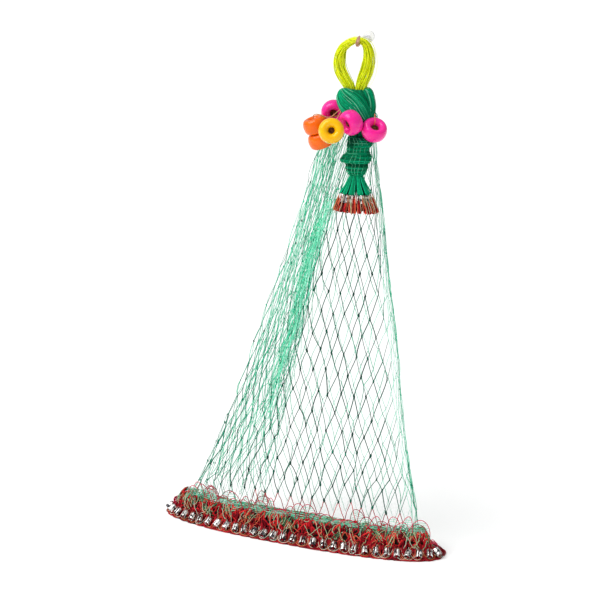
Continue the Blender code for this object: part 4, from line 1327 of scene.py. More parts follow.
@dataclass
class MainNet(Seeded):
    """The open diamond mesh of the net, hung as a flat tent with its left side tucked in."""

    rows: tuple[NetRow, ...] = rows_as(
        NetRow, (-100, -16, 20, -29.4, -12), (-125, -38, 22, -30.4, -12), (-160, -68, 20, -37, -12),
        (-200, -78, 26, -39, -13), (-260, -96, 36, -41, -14), (-350, -124, 49, -52, -18),
        (-450, -157, 67, -64, -22), (-550, -189, 80, -76, -26), (-650, -225, 97, -87, -30),
        (-745, -268, 121, -98, -36),
    )
    section: tuple[tuple[float, float], ...] = (
        (1.00, 0.50), (0.97, 0.12), (0.85, 0.00), (0.60, 0.02), (0.35, 0.03), (0.10, 0.02), (0.00, 0.12),
        (0.02, 0.26), (0.15, 0.30), (0.27, 0.34), (0.30, 0.48), (0.27, 0.60), (0.15, 0.63), (0.03, 0.66),
        (0.00, 0.80), (0.05, 0.96), (0.20, 1.00), (0.50, 0.98), (0.80, 1.00), (0.96, 0.90),
    )
    waves: int = 9
    wave_depth: float = 3.2
    back_drop: float = 14.0
    back_drop_from: float = 0.85
    wall_columns: int = 20
    tuck_columns: int = 12
    mesh_width: float = 19.7 * MM
    mesh_heights: tuple[tuple[float, float], ...] = ((-712.0, 54.0), (-620.0, 59.0), (-450.0, 62.0), (-250.0, 69.0))
    edge_room: float = 16.0
    open_reach: tuple[tuple[float, float], ...] = (
        (-745, 400), (-700, 300), (-650, 246), (-597, 214), (-529, 189), (-448, 152), (-390, 132), (-317, 102),
        (-236, 66), (-200, 42), (-160, 22), (-104, 6),
    )
    front_to: float = 0.13
    drawn_tones: tuple[tuple[float, float], ...] = ((-700, 0.30), (-450, 0.42), (-320, 0.60), (-220, 0.68))
    gathered_radii: tuple[tuple[float, float], ...] = ((-640, 0.9), (-480, 0.75), (-400, 0.5))
    front_radius: float = 0.72 * MM
    back_radius: float = 0.52 * MM
    lowest: float = -712.0
    highest: float = -104.0
    band: tuple[Point, ...] = (
        (-44, -43, -236), (-49, -44, -256), (-68, -48, -317), (-86, -54, -390), (-95, -60, -448), (-107, -65, -481),
        (-120, -70, -529), (-134, -78, -597),
    )
    band_width: float = 27.0 * MM
    fibres: int = 40
    fold_steps: int = 60
    crown_hold: Point = (2.0, -40.0, -86.0)
    seed: int = 5

    def __post_init__(self) -> None:
        """Works out the fine section and the levels between the table's."""
        super().__post_init__()
        steps = 12
        fine = smooth(self.section, steps, closed=True)
        self._section = np.concatenate([fine, fine[:1]])
        self._front_end = steps * next(i for i, (across, _) in enumerate(self.section) if across == 0.0)
        self._tuck_end = steps * max(i for i, (across, _) in enumerate(self.section) if across == 0.0)
        self._levels = smooth(self.rows, 10)[::-1]
        self.columns = 2 * self.wall_columns + self.tuck_columns

    def _sides(self, z: float) -> list[float]:
        """The places of the net's left, right, front and back at a height, all in millimetres."""
        return [float(np.interp(z, self._levels[:, 0], self._levels[:, k])) for k in (1, 2, 3, 4)]

    def _open_to(self, z: float) -> float:
        """How far from the right edge the open mesh reaches at a height, in millimetres."""
        return read_off(self.open_reach, z)

    def outline(self, z: float) -> np.ndarray:
        """The net's section at a height in millimetres: points, then their places in it."""
        left, right, front, back = self._sides(z)
        across, through = self._section[:, 0], self._section[:, 1]
        down = (z - self.rows[0].z) / (self.rows[-1].z - self.rows[0].z)
        outer_wall = (through < 0.08) | (through > 0.93)
        depth = self.wave_depth * down * np.where(outer_wall, 1.0, 0.25)
        phase = np.where(through < 0.5, 0.0, 2.0)
        wave = depth * np.sin(self.waves * math.pi * across + phase)
        x = left + (right - left) * across
        y = front + (back - front) * through + wave
        near_foot = max(0.0, down - self.back_drop_from) / (1.0 - self.back_drop_from)
        height = z - self.back_drop * through * near_foot**2
        return np.stack([x * MM, y * MM, height * MM, across, through], axis=1)

    def _wall(self, columns: np.ndarray, length: float, z: float) -> np.ndarray:
        """How far along a wall its columns hang: drawn together at both sides, open between.

        Args:
            columns: Column numbers, 0 at the right edge.
            length: The wall's length at this height.
            z: The height in millimetres.

        Returns:
            Their distances from the right edge.
        """
        left, right = self._sides(z)[:2]
        span = right - left
        moved = self.rows[-1].right - right
        width = self.mesh_width / MM
        edge = min(self.edge_room, 0.3 * span)
        reach = min(span, max(edge + 2.0, self._open_to(z)))
        at_edge, at_band = (moved + edge) / width, (moved + reach) / width
        out = columns * width - moved
        out = np.where(columns < at_edge, edge * columns / at_edge, out)
        if at_band < self.wall_columns:
            beyond = (columns - at_band) / (self.wall_columns - at_band)
            out = np.where(columns > at_band, reach + beyond * (span - reach), out)
        return np.clip(out / span, 0.0, 1.0) * length

    def stations(self, z: float, columns: np.ndarray) -> np.ndarray:
        """The cloth's points at a height in millimetres, by column round from the right edge."""
        ring = self.outline(z)
        steps = np.linalg.norm(np.diff(ring[:, :3], axis=0), axis=1)
        lengths = np.concatenate([[0.0], np.cumsum(steps)])
        front, tuck, whole = lengths[self._front_end], lengths[self._tuck_end], lengths[-1]
        turn = columns % self.columns
        on_tuck = front + (turn - self.wall_columns) / self.tuck_columns * (tuck - front)
        on_front = self._wall(turn, front, z)
        on_back = whole - self._wall(self.columns - turn, whole - tuck, z)
        behind = np.where(turn < self.wall_columns + self.tuck_columns, on_tuck, on_back)
        at = np.where(turn < self.wall_columns, on_front, behind)
        return np.stack([np.interp(at, lengths, ring[:, k]) for k in range(5)], axis=1)

    def _gathered(self, across: float, z: float) -> float:
        """How gathered the front wall is at a place: 0 in the open mesh, 1 at its left."""
        left, right = self._sides(z)[:2]
        out = (1.0 - across) * (right - left)
        return float(np.clip((out - self._open_to(z) + 12.0) / 24.0, 0.0, 1.0))

    def _tone(self, across: float, through: float, z: float) -> float:
        """A strand's tone, with painted shade and light: near black on the front wall, mid green where gathered,
        pale on the tuck and back wall, though all are one twine.
        """
        chance = self.bell(0.0, 0.06)
        # Painted shade and light: the one twine is made near black on the front wall and pale behind it; the front
        # wall is also made paler towards its top.
        if through < self.front_to:
            pale = float(np.clip((z + 290.0) / 70.0, 0.0, 1.0))
            if across > 0.93:
                return 0.34 + 0.3 * pale + 2.0 * chance
            gathered = self._gathered(across, z)
            drawn = read_off(self.drawn_tones, z)
            if gathered > 0.6 and self.chance() < 0.2:
                return 0.36 + chance
            return max(0.18 + drawn * gathered + 2.0 * chance, 0.74 * pale + chance, 0.05)
        if through < 0.9:
            return 0.86 + 1.5 * chance
        return 0.62 + chance if self.chance() < 0.25 else 0.98 - abs(chance)

    def _grid(self) -> list[np.ndarray]:
        """The net's knots: one row of points and places for each half mesh of height."""
        rows = []
        z = self.lowest
        while z < self.highest:
            numbers = np.arange(self.columns) + 0.5 * (len(rows) % 2)
            across = self.stations(z, numbers)[:, 3]
            side = np.abs(across - 0.5) > 0.45
            numbers = numbers + self.bell(0.0, 1.0, self.columns) * np.where(side, 0.02, 0.07)
            gathered = np.array([self._gathered(place_on, z) for place_on in across])
            levels = z + self.bell(0.0, 1.0, self.columns) * np.where(side, 1.5, 2.6 + 3.5 * gathered)
            levels = np.clip(levels, self.lowest - 3.0, self.highest)
            at = np.concatenate([self.stations(level, numbers[c : c + 1]) for c, level in enumerate(levels)])
            at[:, 1] += self.bell(0.0, 0.4 * MM, self.columns)
            rows.append(at)
            z += read_off(self.mesh_heights, z) / 2
        return rows

    def _bar(
        self, strands: Strands, start: np.ndarray, end: np.ndarray, radius: float, tone: float, slack: float
    ) -> None:
        """Adds one bar of the mesh, with a little slack in it."""
        share = np.array([0.0, 0.3, 0.68, 1.0])[:, None]
        route = start + (end - start) * share
        route[1:3] += self.bell(0.0, slack, (1, 3)) * np.array([1.0, 0.5, 0.2])
        strands.tube(route, radius, tone, sides=5)

    def _mesh_rows(self) -> list[np.ndarray]:
        """Builds the mesh's bars and knots, and returns its rows of knots, lowest first."""
        strands = Strands()
        rows = self._grid()
        for r, (row, above) in enumerate(zip(rows, rows[1:])):
            for c in range(self.columns):
                near = (c - 1, c) if r % 2 == 0 else (c, c + 1)
                for n in near:
                    start, end = row[c], above[n % self.columns]
                    tone = self._tone(start[3], start[4], start[2] / MM)
                    back = start[4] > self.front_to
                    slack = 0.5 * MM if start[3] > 0.5 and not back else 1.1 * MM
                    radius = self.front_radius * (1.0 - 0.4 * min(1.0, tone)) * self.draw(0.7, 1.3)
                    if self._gathered(start[3], start[2] / MM) > 0.6:
                        radius *= read_off(self.gathered_radii, start[2] / MM)
                    radius = self.back_radius if back else radius
                    if start[3] > 0.92:
                        radius *= read_off(((-700.0, 0.9), (-560.0, 0.5 if back else 0.7)), start[2] / MM)
                    self._bar(strands, start[:3], end[:3], radius, float(np.clip(tone, 0.0, 1.0)), slack)
        for row in rows:
            for knot in row:
                back = knot[4] > self.front_to
                tone = self._tone(knot[3], knot[4], knot[2] / MM) - (0.05 if back else 0.12)
                drawn = max(self._gathered(knot[3], knot[2] / MM), 1.3 * float(knot[3] > 0.92))
                size = 1.0 if back else self.draw(1.5, 2.2) - 0.7 * drawn
                width, length = (1.4 if back else 1.75) * MM * size, (2.6 if back else 3.1) * MM * size
                lean = unit(np.array([self.pick([-0.27, 0.27]), self.bell(0.0, 0.1), 1.0]))
                strands.lump(knot[:3], lean, length, width, float(np.clip(tone, 0.0, 1.0)))
        strands.piece("net_mesh", Finish.MESH_TWINE, "net")
        return rows

    def _gathered_fold(self) -> None:
        """Builds the dense fold where the netting hangs gathered in many layers."""
        strands = Strands()
        line = smooth(self.band, 6) * MM
        places = shares(self.fold_steps)
        route = along(line, places)
        width = self.band_width * np.interp(places, [0.0, 0.1, 0.45, 0.8, 1.0], [0.7, 1.0, 1.1, 1.2, 1.6])
        for k in range(self.fibres):
            spread = float(np.clip(self.bell(0.0, 0.42), -1.1, 1.1))
            phase = math.pi * (k % 2)
            swing = 2.0 * MM * np.sin(TAU * 6.0 * places + phase + self.bell(0.0, 0.8))
            shift = spread * width / 2 + swing
            offset = np.stack([shift, 3.0 * MM * np.sin(k * 1.7 + 3 * places), 0.2 * shift], axis=1)
            path = self.loosened(route + offset, 2.0 * MM, 5.0)
            first = self.whole(0, 8)
            last = self.fold_steps - int(self.whole(0, 30) * (0.4 + abs(spread)))
            tone = np.clip(0.72 - 0.05 * abs(spread) + self.bell(0.0, 0.12), 0.2, 0.97)
            if k % 2 == 0:
                strands.tube(path[first:last] + [0.0, 0.7 * MM, 0.0], 0.42 * MM, 0.92, sides=4)
                continue
            strands.tube(path[first:last], 0.34 * MM, tone, sides=4)
            for at in range(first + 4 + k % 4, last, 8):
                strands.lump(path[at], np.array([0.25, 0.0, 0.97]), 3.2 * MM, 1.6 * MM, float(tone - 0.5))
        strands.piece("net_gathered_fold", Finish.FOLD_TWINE)

    def _edge_bundle(self, strands: Strands, share: float, count: int, low: float, high: float) -> None:
        """Runs strands down one side edge of the net, drawn together towards the foot."""
        for _ in range(count):
            levels = np.linspace(high, low, 16)
            shift = self.bell(0.0, 0.014)
            route = np.array([along(self.outline(z), (share + shift) % 1.0)[:3] for z in levels])
            route += self.wander(len(levels), 2.2 * MM, 3.0) * np.linspace(1.0, 0.35, len(levels))[:, None]
            tone = np.clip(self.bell(0.58, 0.12), 0.0, 1.0)
            route = smooth(route, 2)
            strands.tube(route, 0.38 * MM, tone, sides=4)
            for at in range(3, 30, 7):
                strands.lump(route[at], UP, 3.4 * MM, 1.9 * MM, float(tone - 0.15))

    def _top_strands(self, rows: list[np.ndarray]) -> None:
        """Draws the top row's knots together and up into the back of the crown, which holds them."""
        strands = Strands()
        middle = np.array(self.crown_hold) * MM
        for k, knot in enumerate(rows[-1]):
            start = knot[:3]
            for aside in (-1.0, 1.0):
                end = middle + (start - middle) * np.array([0.4, 0.12, 0.0])
                end = end + np.array([1.6 * aside, 0.0, 2.5 * math.sin(1.7 * k + aside)]) * MM
                half = (start + end) / 2 + np.array([0.0, 1.2, -1.0]) * MM
                route = smooth(np.stack([start, half, end]), 4)
                strands.tube(route, self.back_radius, 0.3 + 0.25 * math.sin(2.3 * k) ** 2, sides=5)
        strands.piece("net_top_strands", Finish.MESH_TWINE)

    def build(self) -> list[np.ndarray]:
        """Builds the mesh, its gathered fold and its drawn edges.

        Returns:
            The rows of knots, lowest first, each as points and places in the section.
        """
        rows = self._mesh_rows()
        self._gathered_fold()
        strands = Strands()
        self._edge_bundle(strands, 0.0, 3, -746.0, -640.0)
        self._edge_bundle(strands, 0.0, 1, -746.0, -240.0)
        self._edge_bundle(strands, 0.36, 6, -744.0, -600.0)
        strands.piece("net_drawn_edges", Finish.MESH_TWINE)
        self._top_strands(rows)
        return rows


# ---- the foot ----------------------------------------------------------------------------


class Mark(NamedTuple):
    """A place on the foot's profile, inwards from its outer edge and up, in millimetres."""

    inwards: float
    up: float


@dataclass
class Foot(Seeded):
    """The weighted foot: red cord heaped in a ring, bunched netting and rolled sinkers."""

    centre: tuple[float, float] = (-79.4 * MM, -70.0 * MM)
    half_length: float = 240.0 * MM
    half_depth: float = 59.5 * MM
    roundness: float = 2.4
    profile: tuple[Mark, ...] = rows_as(
        Mark, (0, 0), (8, 5.6), (16, 11.2), (19, 13.5), (20.5, 18), (22, 24), (25, 29), (30, 34), (36, 37),
        (42, 35),
    )
    sinker: RolledTube = RolledTube(radius=5.0 * MM, wall=0.9 * MM, length=12.0 * MM, slit_degrees=26.0)
    tilt_degrees: float = 35.0
    lip: float = 4.5 * MM
    gap: float = 0.3 * MM
    sinkers: int = 30
    first_share: float = 0.515
    last_share: float = 0.9905
    outline_length: float = 1040.0 * MM
    slope_length: float = 62.0 * MM
    curl_length: float = 900.0 * MM
    cord_radius: float = 0.9 * MM
    core_radius: float = 1.3 * MM
    core_reach: tuple[float, float] = (0.75, 0.54)
    strand_radius: float = 0.42 * MM
    arch_radius: float = 0.6 * MM
    tiers: tuple[float, ...] = (0.28, 0.42, 0.55, 0.66)
    cord_tones: tuple[float, ...] = (0.02, 0.15, 0.3, 0.46, 0.6, 0.74)
    cord_top: float = 0.36
    netting_foot: float = 0.42
    low_part: float = 7.5 * MM
    loops_a_tier: int = 48
    clumps: int = 54
    strands_a_clump: int = 15
    top_loops: int = 100
    crossing: int = 54
    front_arches: int = 40
    back_arches: int = 8
    rows_an_arch: int = 7
    end_loops: int = 12
    front_curls: int = 110
    back_curls: int = 420
    body_rings: int = 240
    tube_seed: int = 300
    stations: int = 720
    profile_steps: int = 60
    seed: int = 71

    def __post_init__(self) -> None:
        """Works out the outline's even stations."""
        super().__post_init__()
        angle = TAU * np.arange(self.stations) / self.stations
        x, y = squared(angle, 2 / self.roundness)
        line = np.stack([self.half_length * x, self.half_depth * y, 0 * x], axis=1)
        line = np.concatenate([line, line[:1]])
        share = np.arange(self.stations) / self.stations
        self._edge = along(line, share) + np.array([*self.centre, FLOOR])
        ahead = unit(np.roll(self._edge, -1, axis=0) - np.roll(self._edge, 1, axis=0))
        self._out = np.stack([ahead[:, 1], -ahead[:, 0], 0 * ahead[:, 0]], axis=1)
        marks = np.array(self.profile) * MM
        self._profile = along(smooth(marks, 6), shares(self.profile_steps))

    def skin(self, share: np.ndarray, height: np.ndarray, lift: float | np.ndarray = 0.0) -> np.ndarray:
        """Points on the heap's surface.

        Args:
            share: Places round the foot, 0 to 1.
            height: Places up the profile, 0 at the outer edge to 1 at its top.
            lift: How far they stand off the surface, in metres.

        Returns:
            The points.
        """
        share, height = np.broadcast_arrays(np.asarray(share, float), np.asarray(height, float))
        at = (share % 1.0) * self.stations
        low = np.floor(at).astype(int) % self.stations
        mix = (at - np.floor(at))[:, None]
        edge = self._edge[low] * (1 - mix) + self._edge[(low + 1) % self.stations] * mix
        out = unit(self._out[low] * (1 - mix) + self._out[(low + 1) % self.stations] * mix)
        spots = shares(self.profile_steps)
        inwards = np.interp(height, spots, self._profile[:, 0])
        up = np.interp(height, spots, self._profile[:, 1])
        place_on = edge - np.array([*self.centre, FLOOR])
        turn = np.arctan2(place_on[:, 1] / self.half_depth, place_on[:, 0] / self.half_length)
        kept = 1.0 - 0.75 * np.clip(0.3 + 1.6 * np.sin(turn), 0.0, 1.0)
        up = np.minimum(up, self.low_part) + np.maximum(up - self.low_part, 0.0) * kept
        slope = np.gradient(self._profile, axis=0)
        normal_out = np.interp(height, spots, slope[:, 1])
        normal_up = np.interp(height, spots, slope[:, 0])
        size = np.hypot(normal_out, normal_up) + 1e-9
        lift = np.broadcast_to(np.asarray(lift, float), share.shape)
        sideways = -inwards + lift * normal_out / size
        upward = up + lift * normal_up / size
        return edge + out * sideways[:, None] + np.stack([0 * up, 0 * up, upward], axis=1)

    def spot(self, share: float, height: float, lift: float = 0.0) -> np.ndarray:
        """One point on the heap's surface."""
        return self.skin([share], [height], lift)[0]

    def laid(self, at: Sequence[np.ndarray], steps: int, loose: float, waves: float) -> np.ndarray:
        """A smooth, loosened line on the heap.

        Args:
            at: Its places round the foot, heights and lifts, as skin takes them.
            steps: Points to each interval.
            loose: The largest usual offset, in metres.
            waves: About how many times it swings along the line.

        Returns:
            The line's points.
        """
        return self.loosened(smooth(self.skin(*at), steps), loose, waves)

    def _sinker_places(self) -> list[tuple[float, np.ndarray, np.ndarray, np.ndarray, np.ndarray]]:
        """Each sinker's share of the outline, middle, slit direction, side and axis."""
        tilt = math.radians(self.tilt_degrees)
        out = []
        for k in range(self.sinkers):
            share = self.first_share + (self.last_share - self.first_share) * k / (self.sinkers - 1)
            station = int(share * self.stations) % self.stations
            edge, away = self._edge[station], self._out[station]
            axis = np.array([away[0] * math.cos(tilt), away[1] * math.cos(tilt), -math.sin(tilt)])
            above = np.array([away[0] * math.sin(tilt), away[1] * math.sin(tilt), math.cos(tilt)])
            corner = edge + away * (self.gap / math.sin(tilt)) - axis * self.lip
            middle = corner - axis * (self.sinker.length / 2) + above * self.sinker.radius
            out.append((share, middle, above, np.cross(axis, above), axis))
        return out

    def _bodies(self) -> None:
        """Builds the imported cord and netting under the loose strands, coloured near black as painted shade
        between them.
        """
        share = np.arange(self.body_rings) / self.body_rings
        heights = (0.0, 0.06, 0.14, 0.22, 0.30, self.cord_top)
        rings = []
        for s in share:
            lump = 0.5 * math.sin(TAU * 37 * s) + 0.4 * math.sin(TAU * 61 * s + 1)
            top = [self.spot(s, h, -(1.2 + 0.4 * lump) * MM) for h in heights]
            foot_in = self.spot(s, 0.0) + (self.spot(s, self.cord_top) - self.spot(s, 0.0)) * 1.12
            under = [np.array([foot_in[0], foot_in[1], FLOOR]), np.array([*self.spot(s, 0.02)[:2], FLOOR])]
            ring = np.array(top + under)
            rings.append(kept_above(ring, FLOOR))
        mesh = skinned("foot_cord_body", np.array(rings), closed=True)
        place("foot_cord_body", mesh, Finish.CORD_BODY, "foot_lead_line")
        rings = []
        for s in share:
            lump = 0.10 * math.sin(TAU * 9 * s) + 0.09 * math.sin(TAU * 23 * s + 1) + 0.05 * math.sin(TAU * 67 * s)
            heights = (self.netting_foot, 0.50, 0.58, 0.66, 0.74, 0.82, 0.90, 0.98)
            lifts = [(-2.5 + 16.0 * lump * (h - 0.4) - 16.0 * (h - self.netting_foot)) * MM for h in heights]
            skin = [self.spot(s, h, lift) for h, lift in zip(heights, lifts)]
            inner = self.spot(s, 1.0)
            inwards = inner - self.spot(s, 0.6)
            deep = [inner + inwards * 0.12 - np.array([0, 0, drop * MM]) for drop in (8, 20, 34)]
            low = self.spot(s, self.netting_foot)
            ring = np.array(skin + deep + [np.array([low[0], low[1], deep[-1][2]])])
            rings.append(kept_above(ring, FLOOR + 1.5 * MM))
        mesh = skinned("foot_netting_body", np.array(rings), closed=True)
        place("foot_netting_body", mesh, Finish.HEAP_BODY, "foot_netting")

    def _tubes(self) -> None:
        """Builds the rolled sinkers, each standing for its own solid."""
        for k, (_, middle, slit, side, axis) in enumerate(self._sinker_places()):
            axis = unit(axis + side * self.bell(0.0, 0.24) + slit * self.bell(0.0, 0.06))
            roll = self.bell(0.0, 0.45)
            slit = unit(slit - axis * float(slit @ axis))
            side = np.cross(axis, slit)
            slit = slit * math.cos(roll) + side * math.sin(roll)
            side = np.cross(axis, slit)
            mesh = self.sinker.mesh(f"foot_tube_{k + 1:02d}", self.tube_seed + k, middle, slit, side, axis)
            sunk = FLOOR + self.gap - min(corner.co.z for corner in mesh.vertices)
            if sunk > 0.0:
                mesh.transform(Matrix.Translation((0.0, 0.0, sunk)))
            place(mesh.name, mesh, Finish.SINKER, f"sinker_{k + 1:02d}")

    def _scallops(self, cords: Strands) -> None:
        """Runs red loops round and under each sinker, and the core cord through it."""
        places = self._sinker_places()
        step = places[1][0] - places[0][0]
        for share, middle, slit, _, axis in places:
            for _ in range(4):
                reach = step * self.draw(0.42, 0.66)
                shift = self.bell(0.0, 0.12) * step
                high = self.draw(0.36, 0.52)
                across = np.array([-1.0, -1.05, -0.9, -0.45, 0.0, 0.45, 0.9, 1.05, 1.0]) * reach + share + shift
                up = np.array([high, 0.24, 0.10, 0.02, 0.0, 0.02, 0.10, 0.24, high * 0.9])
                lift = np.array([3.0, 2.0, 1.0, 1.3, 1.4, 1.3, 1.0, 2.0, 3.0]) * MM
                route = smooth(self.skin(across, up, lift * self.draw(0.8, 1.3)), 4)
                kept_above(route, FLOOR + self.cord_radius)
                cords.tube(route, self.cord_radius, self.draw(0.05, 0.55), sides=6)
            start = middle - axis * (self.sinker.length * self.core_reach[0]) - slit * 0.5 * MM
            end = middle + axis * (self.sinker.length * self.core_reach[1]) - slit * 1.2 * MM
            bow = shares(6)[:, None]
            cords.tube(start + (end - start) * bow, self.core_radius, 0.3, sides=6)

    def _curls(self, cords: Strands, count: int, first: float, last: float, reach: tuple[float, float]) -> None:
        """Lays random curls of cord on the heap between two shares of the outline."""
        for _ in range(count):
            share = self.draw(first, last)
            height = self.draw(*reach)
            size = self.draw(4.0, 11.0) * MM
            turn = np.linspace(0.0, self.draw(3.2, 7.5), 20) + self.draw(0.0, TAU)
            grow = np.linspace(1.0, self.draw(0.6, 1.5), 20)
            across = share + size * grow * np.cos(turn) / self.curl_length * 1.15
            up = np.clip(height + size * grow * np.sin(turn) / self.slope_length, 0.0, 1.0)
            lift = (0.6 + self.draw(0.0, 2.4) + 1.2 * np.sin(turn * 1.3)) * MM
            route = kept_above(self.skin(across, up, np.maximum(lift, 0.2 * MM)), FLOOR + 1.2 * self.cord_radius)
            cords.tube(route, self.cord_radius * self.draw(0.75, 1.15), self.draw(0.03, 0.6), sides=5)

    def _heap_loops(self, cords: Strands) -> None:
        """Lays thick red cord in arched and slanting loops, tier over tier, up the heap."""
        tan_strands_and_painted_highlights = Strands()
        turn = np.linspace(-1.0, 1.0, 9)
        for k in range(self.loops_a_tier):
            for tier in self.tiers:
                span = self.last_share - self.first_share
                share = self.first_share + span * (k + self.chance()) / self.loops_a_tier
                half = self.draw(0.005, 0.010)
                rise = self.draw(0.14, 0.30)
                lean = self.bell(0.0, 0.006)
                high = 1.0 - np.abs(turn) ** self.draw(1.3, 2.6)
                up = np.clip(tier + rise * high + self.bell(0.0, 0.03), 0.2, 0.97)
                at = share + half * turn * (1.0 - 0.25 * high) + lean * high
                lift = (0.6 + 2.6 * high + self.draw(0.0, 1.6)) * MM
                route = self.laid((at, up, lift), 3, 0.7 * MM, 1.5)
                radius = self.draw(0.8, 1.3) * MM
                cords.tube(route, radius, self.pick(self.cord_tones), sides=6)
                # Painted highlight: on about one cord in seven, a thin orange strand along its top stands in for
                # the light on it.
                if self.chance() < 0.15:
                    route = self.laid((at + 0.0014, up - 0.01, lift + radius), 3, 0.5 * MM, 1.5)
                    tan_strands_and_painted_highlights.tube(route, self.strand_radius, self.pick([0.26, 0.32, 0.36, 0.6]), sides=4)
        places = shares(8)
        for _ in range(self.crossing):
            share = self.draw(self.first_share, self.last_share)
            lean = self.pick([-1.0, 1.0]) * self.draw(0.006, 0.024)
            low, high = self.draw(0.24, 0.4), self.draw(0.62, 0.94)
            lift = (4.0 + 1.5 * np.sin(5.0 * places) + self.draw(0.0, 1.5)) * MM
            route = self.laid((share + lean * places, low + (high - low) * places, lift), 3, 0.9 * MM, 2.0)
            tan_strands_and_painted_highlights.tube(route, self.strand_radius, self.pick([0.3, 0.45, 0.6, 0.72, 0.85]), sides=4)
        for share, _, _, _, _ in self._sinker_places():
            for _ in range(2):
                across = share + np.array([-0.013, -0.011, -0.004, 0.004, 0.011, 0.013]) * self.draw(0.7, 1.2)
                across = across + self.bell(0.0, 0.003)
                up = np.array([0.40, 0.22, 0.05, 0.04, 0.2, 0.38]) * self.draw(0.8, 1.1)
                lift = np.array([3.5, 2.6, 2.4, 2.4, 2.6, 3.5]) * MM
                route = kept_above(smooth(self.skin(across, up, lift), 3), FLOOR + 0.5 * MM)
                tan_strands_and_painted_highlights.tube(route, 0.4 * MM, self.pick([0.2, 0.36, 0.9]), sides=4)
        tan_strands_and_painted_highlights.piece("foot_crossing_strands", Finish.TAN_TWINE)

    def _bunches(self) -> None:
        """Bunches green netting in clumps along the heap, and thin loose loops on its top."""
        strands = Strands()
        faded = Strands()
        for k in range(self.clumps):
            share = (k + self.draw(0.1, 0.9)) / self.clumps
            height = self.draw(0.64, 0.88) if k % 4 else self.draw(0.48, 0.64)
            way = self.draw(-1.2, 1.2)
            deep = self.draw(0.3, 0.75)
            for _ in range(self.strands_a_clump):
                size = self.draw(4.0, 10.0) * MM
                line = np.linspace(-1.0, 1.0, 7)
                lean = way + self.bell(0.0, 0.3)
                bend = self.bell(0.0, 1.8) * MM * (1.0 - line**2)
                along_it = size * line * math.sin(lean) + bend * math.cos(lean) + self.bell(0.0, 4.5) * MM
                up_it = size * line * math.cos(lean) - bend * math.sin(lean) + self.bell(0.0, 4.0) * MM
                at = share + along_it / self.outline_length
                up = np.clip(height + up_it / self.slope_length, self.netting_foot, 1.0)
                route = self.loosened(smooth(self.skin(at, up, (1.0 + self.draw(0.0, 4.5)) * MM), 2), 0.6 * MM, 1.0)
                if self.chance() < 0.4:
                    faded.tube(route, self.draw(0.35, 0.55) * MM, self.draw(0.5, 0.85), sides=4)
                    continue
                tone = np.clip(self.bell(deep, 0.16), 0.1, 1.0)
                strands.tube(route, self.draw(0.35, 0.6) * MM, tone, sides=4)
        for _ in range(self.top_loops):
            share = self.draw(0.0, 1.0)
            long_way = self.draw(5.0, 12.0) * MM
            short_way = self.draw(2.0, 5.0) * MM
            turn = shares(13, TAU)
            tilt = self.draw(-1.2, 1.2)
            a = long_way * np.cos(turn) * math.cos(tilt) - short_way * np.sin(turn) * math.sin(tilt)
            b = long_way * np.cos(turn) * math.sin(tilt) + short_way * np.sin(turn) * math.cos(tilt)
            at = share + a / self.outline_length
            up = np.clip(self.draw(0.75, 0.95) + b / self.slope_length, 0.5, 1.0)
            route = self.loosened(self.skin(at, up, (1.5 + self.draw(0.0, 5.0)) * MM), 1.3 * MM, 1.5)
            strands.tube(route, 0.3 * MM, np.clip(self.bell(0.72, 0.2), 0.2, 1.0), sides=4)
        strands.piece("foot_green_bunches", Finish.BUNCH_TWINE)
        faded.piece("foot_faded_bunches", Finish.TAN_TWINE)

    def _arches(self) -> None:
        """Stands thin red arches over the heap, with pale rows of twine strung in them."""
        red = Strands()
        pale = Strands()
        for k in range(self.front_arches + self.back_arches):
            front = k < self.front_arches
            share = 0.565 + 0.405 * ((k + self.chance()) / 40) ** 1.25 if front else self.draw(0.05, 0.45)
            width = self.draw(8.0, 17.0) * MM
            rise = self.draw(12.0, 31.0) * MM
            centre = self.spot(share, 0.72)
            across = unit(self.spot(share + 0.004, 0.8) - self.spot(share - 0.004, 0.8))
            turn = np.linspace(-0.25, math.pi + 0.25, 18)
            lean = self.bell(0.0, 0.18)
            route = centre + np.outer(width * np.cos(turn), across)
            route = self.loosened(route + np.outer(rise * np.sin(turn), [lean, 0.0, 1.0]), 0.8 * MM, 1.0)
            red.tube(route, self.arch_radius, self.draw(0.1, 0.75), sides=5)
            for j in range(self.rows_an_arch):
                level = math.asin((j + 0.7) / 8.2)
                ends = centre + np.outer([width * math.cos(level), -width * math.cos(level)], across)
                ends += np.outer([rise * math.sin(level)] * 2, [lean, 0.0, 1.0])
                places = shares(6)[:, None]
                string = self.loosened(ends[0] + (ends[1] - ends[0]) * places, 0.9 * MM, 1.0)
                pale.tube(string, 0.34 * MM, self.draw(0.72, 1.0), sides=4)
        red.piece("foot_red_arches", Finish.CRIMSON_TWINE)
        pale.piece("foot_pale_rows", Finish.MESH_TWINE)

    def _last_mesh_row(self, knots: np.ndarray) -> None:
        """Joins the net's lowest knots to the heap: red twine where the mesh is open in front."""
        strands = Strands()
        green = Strands()
        for n, knot in enumerate(knots):
            for way in (-1, 1):
                other = knots[(n + way) % len(knots)]
                end = (knot[:3] + other[:3]) / 2
                end[2] -= 31.0 * MM + self.bell(0.0, 2.0 * MM)
                places = shares(6)[:, None]
                route = self.loosened(knot[:3] + (end - knot[:3]) * places, 0.9 * MM, 1.0)
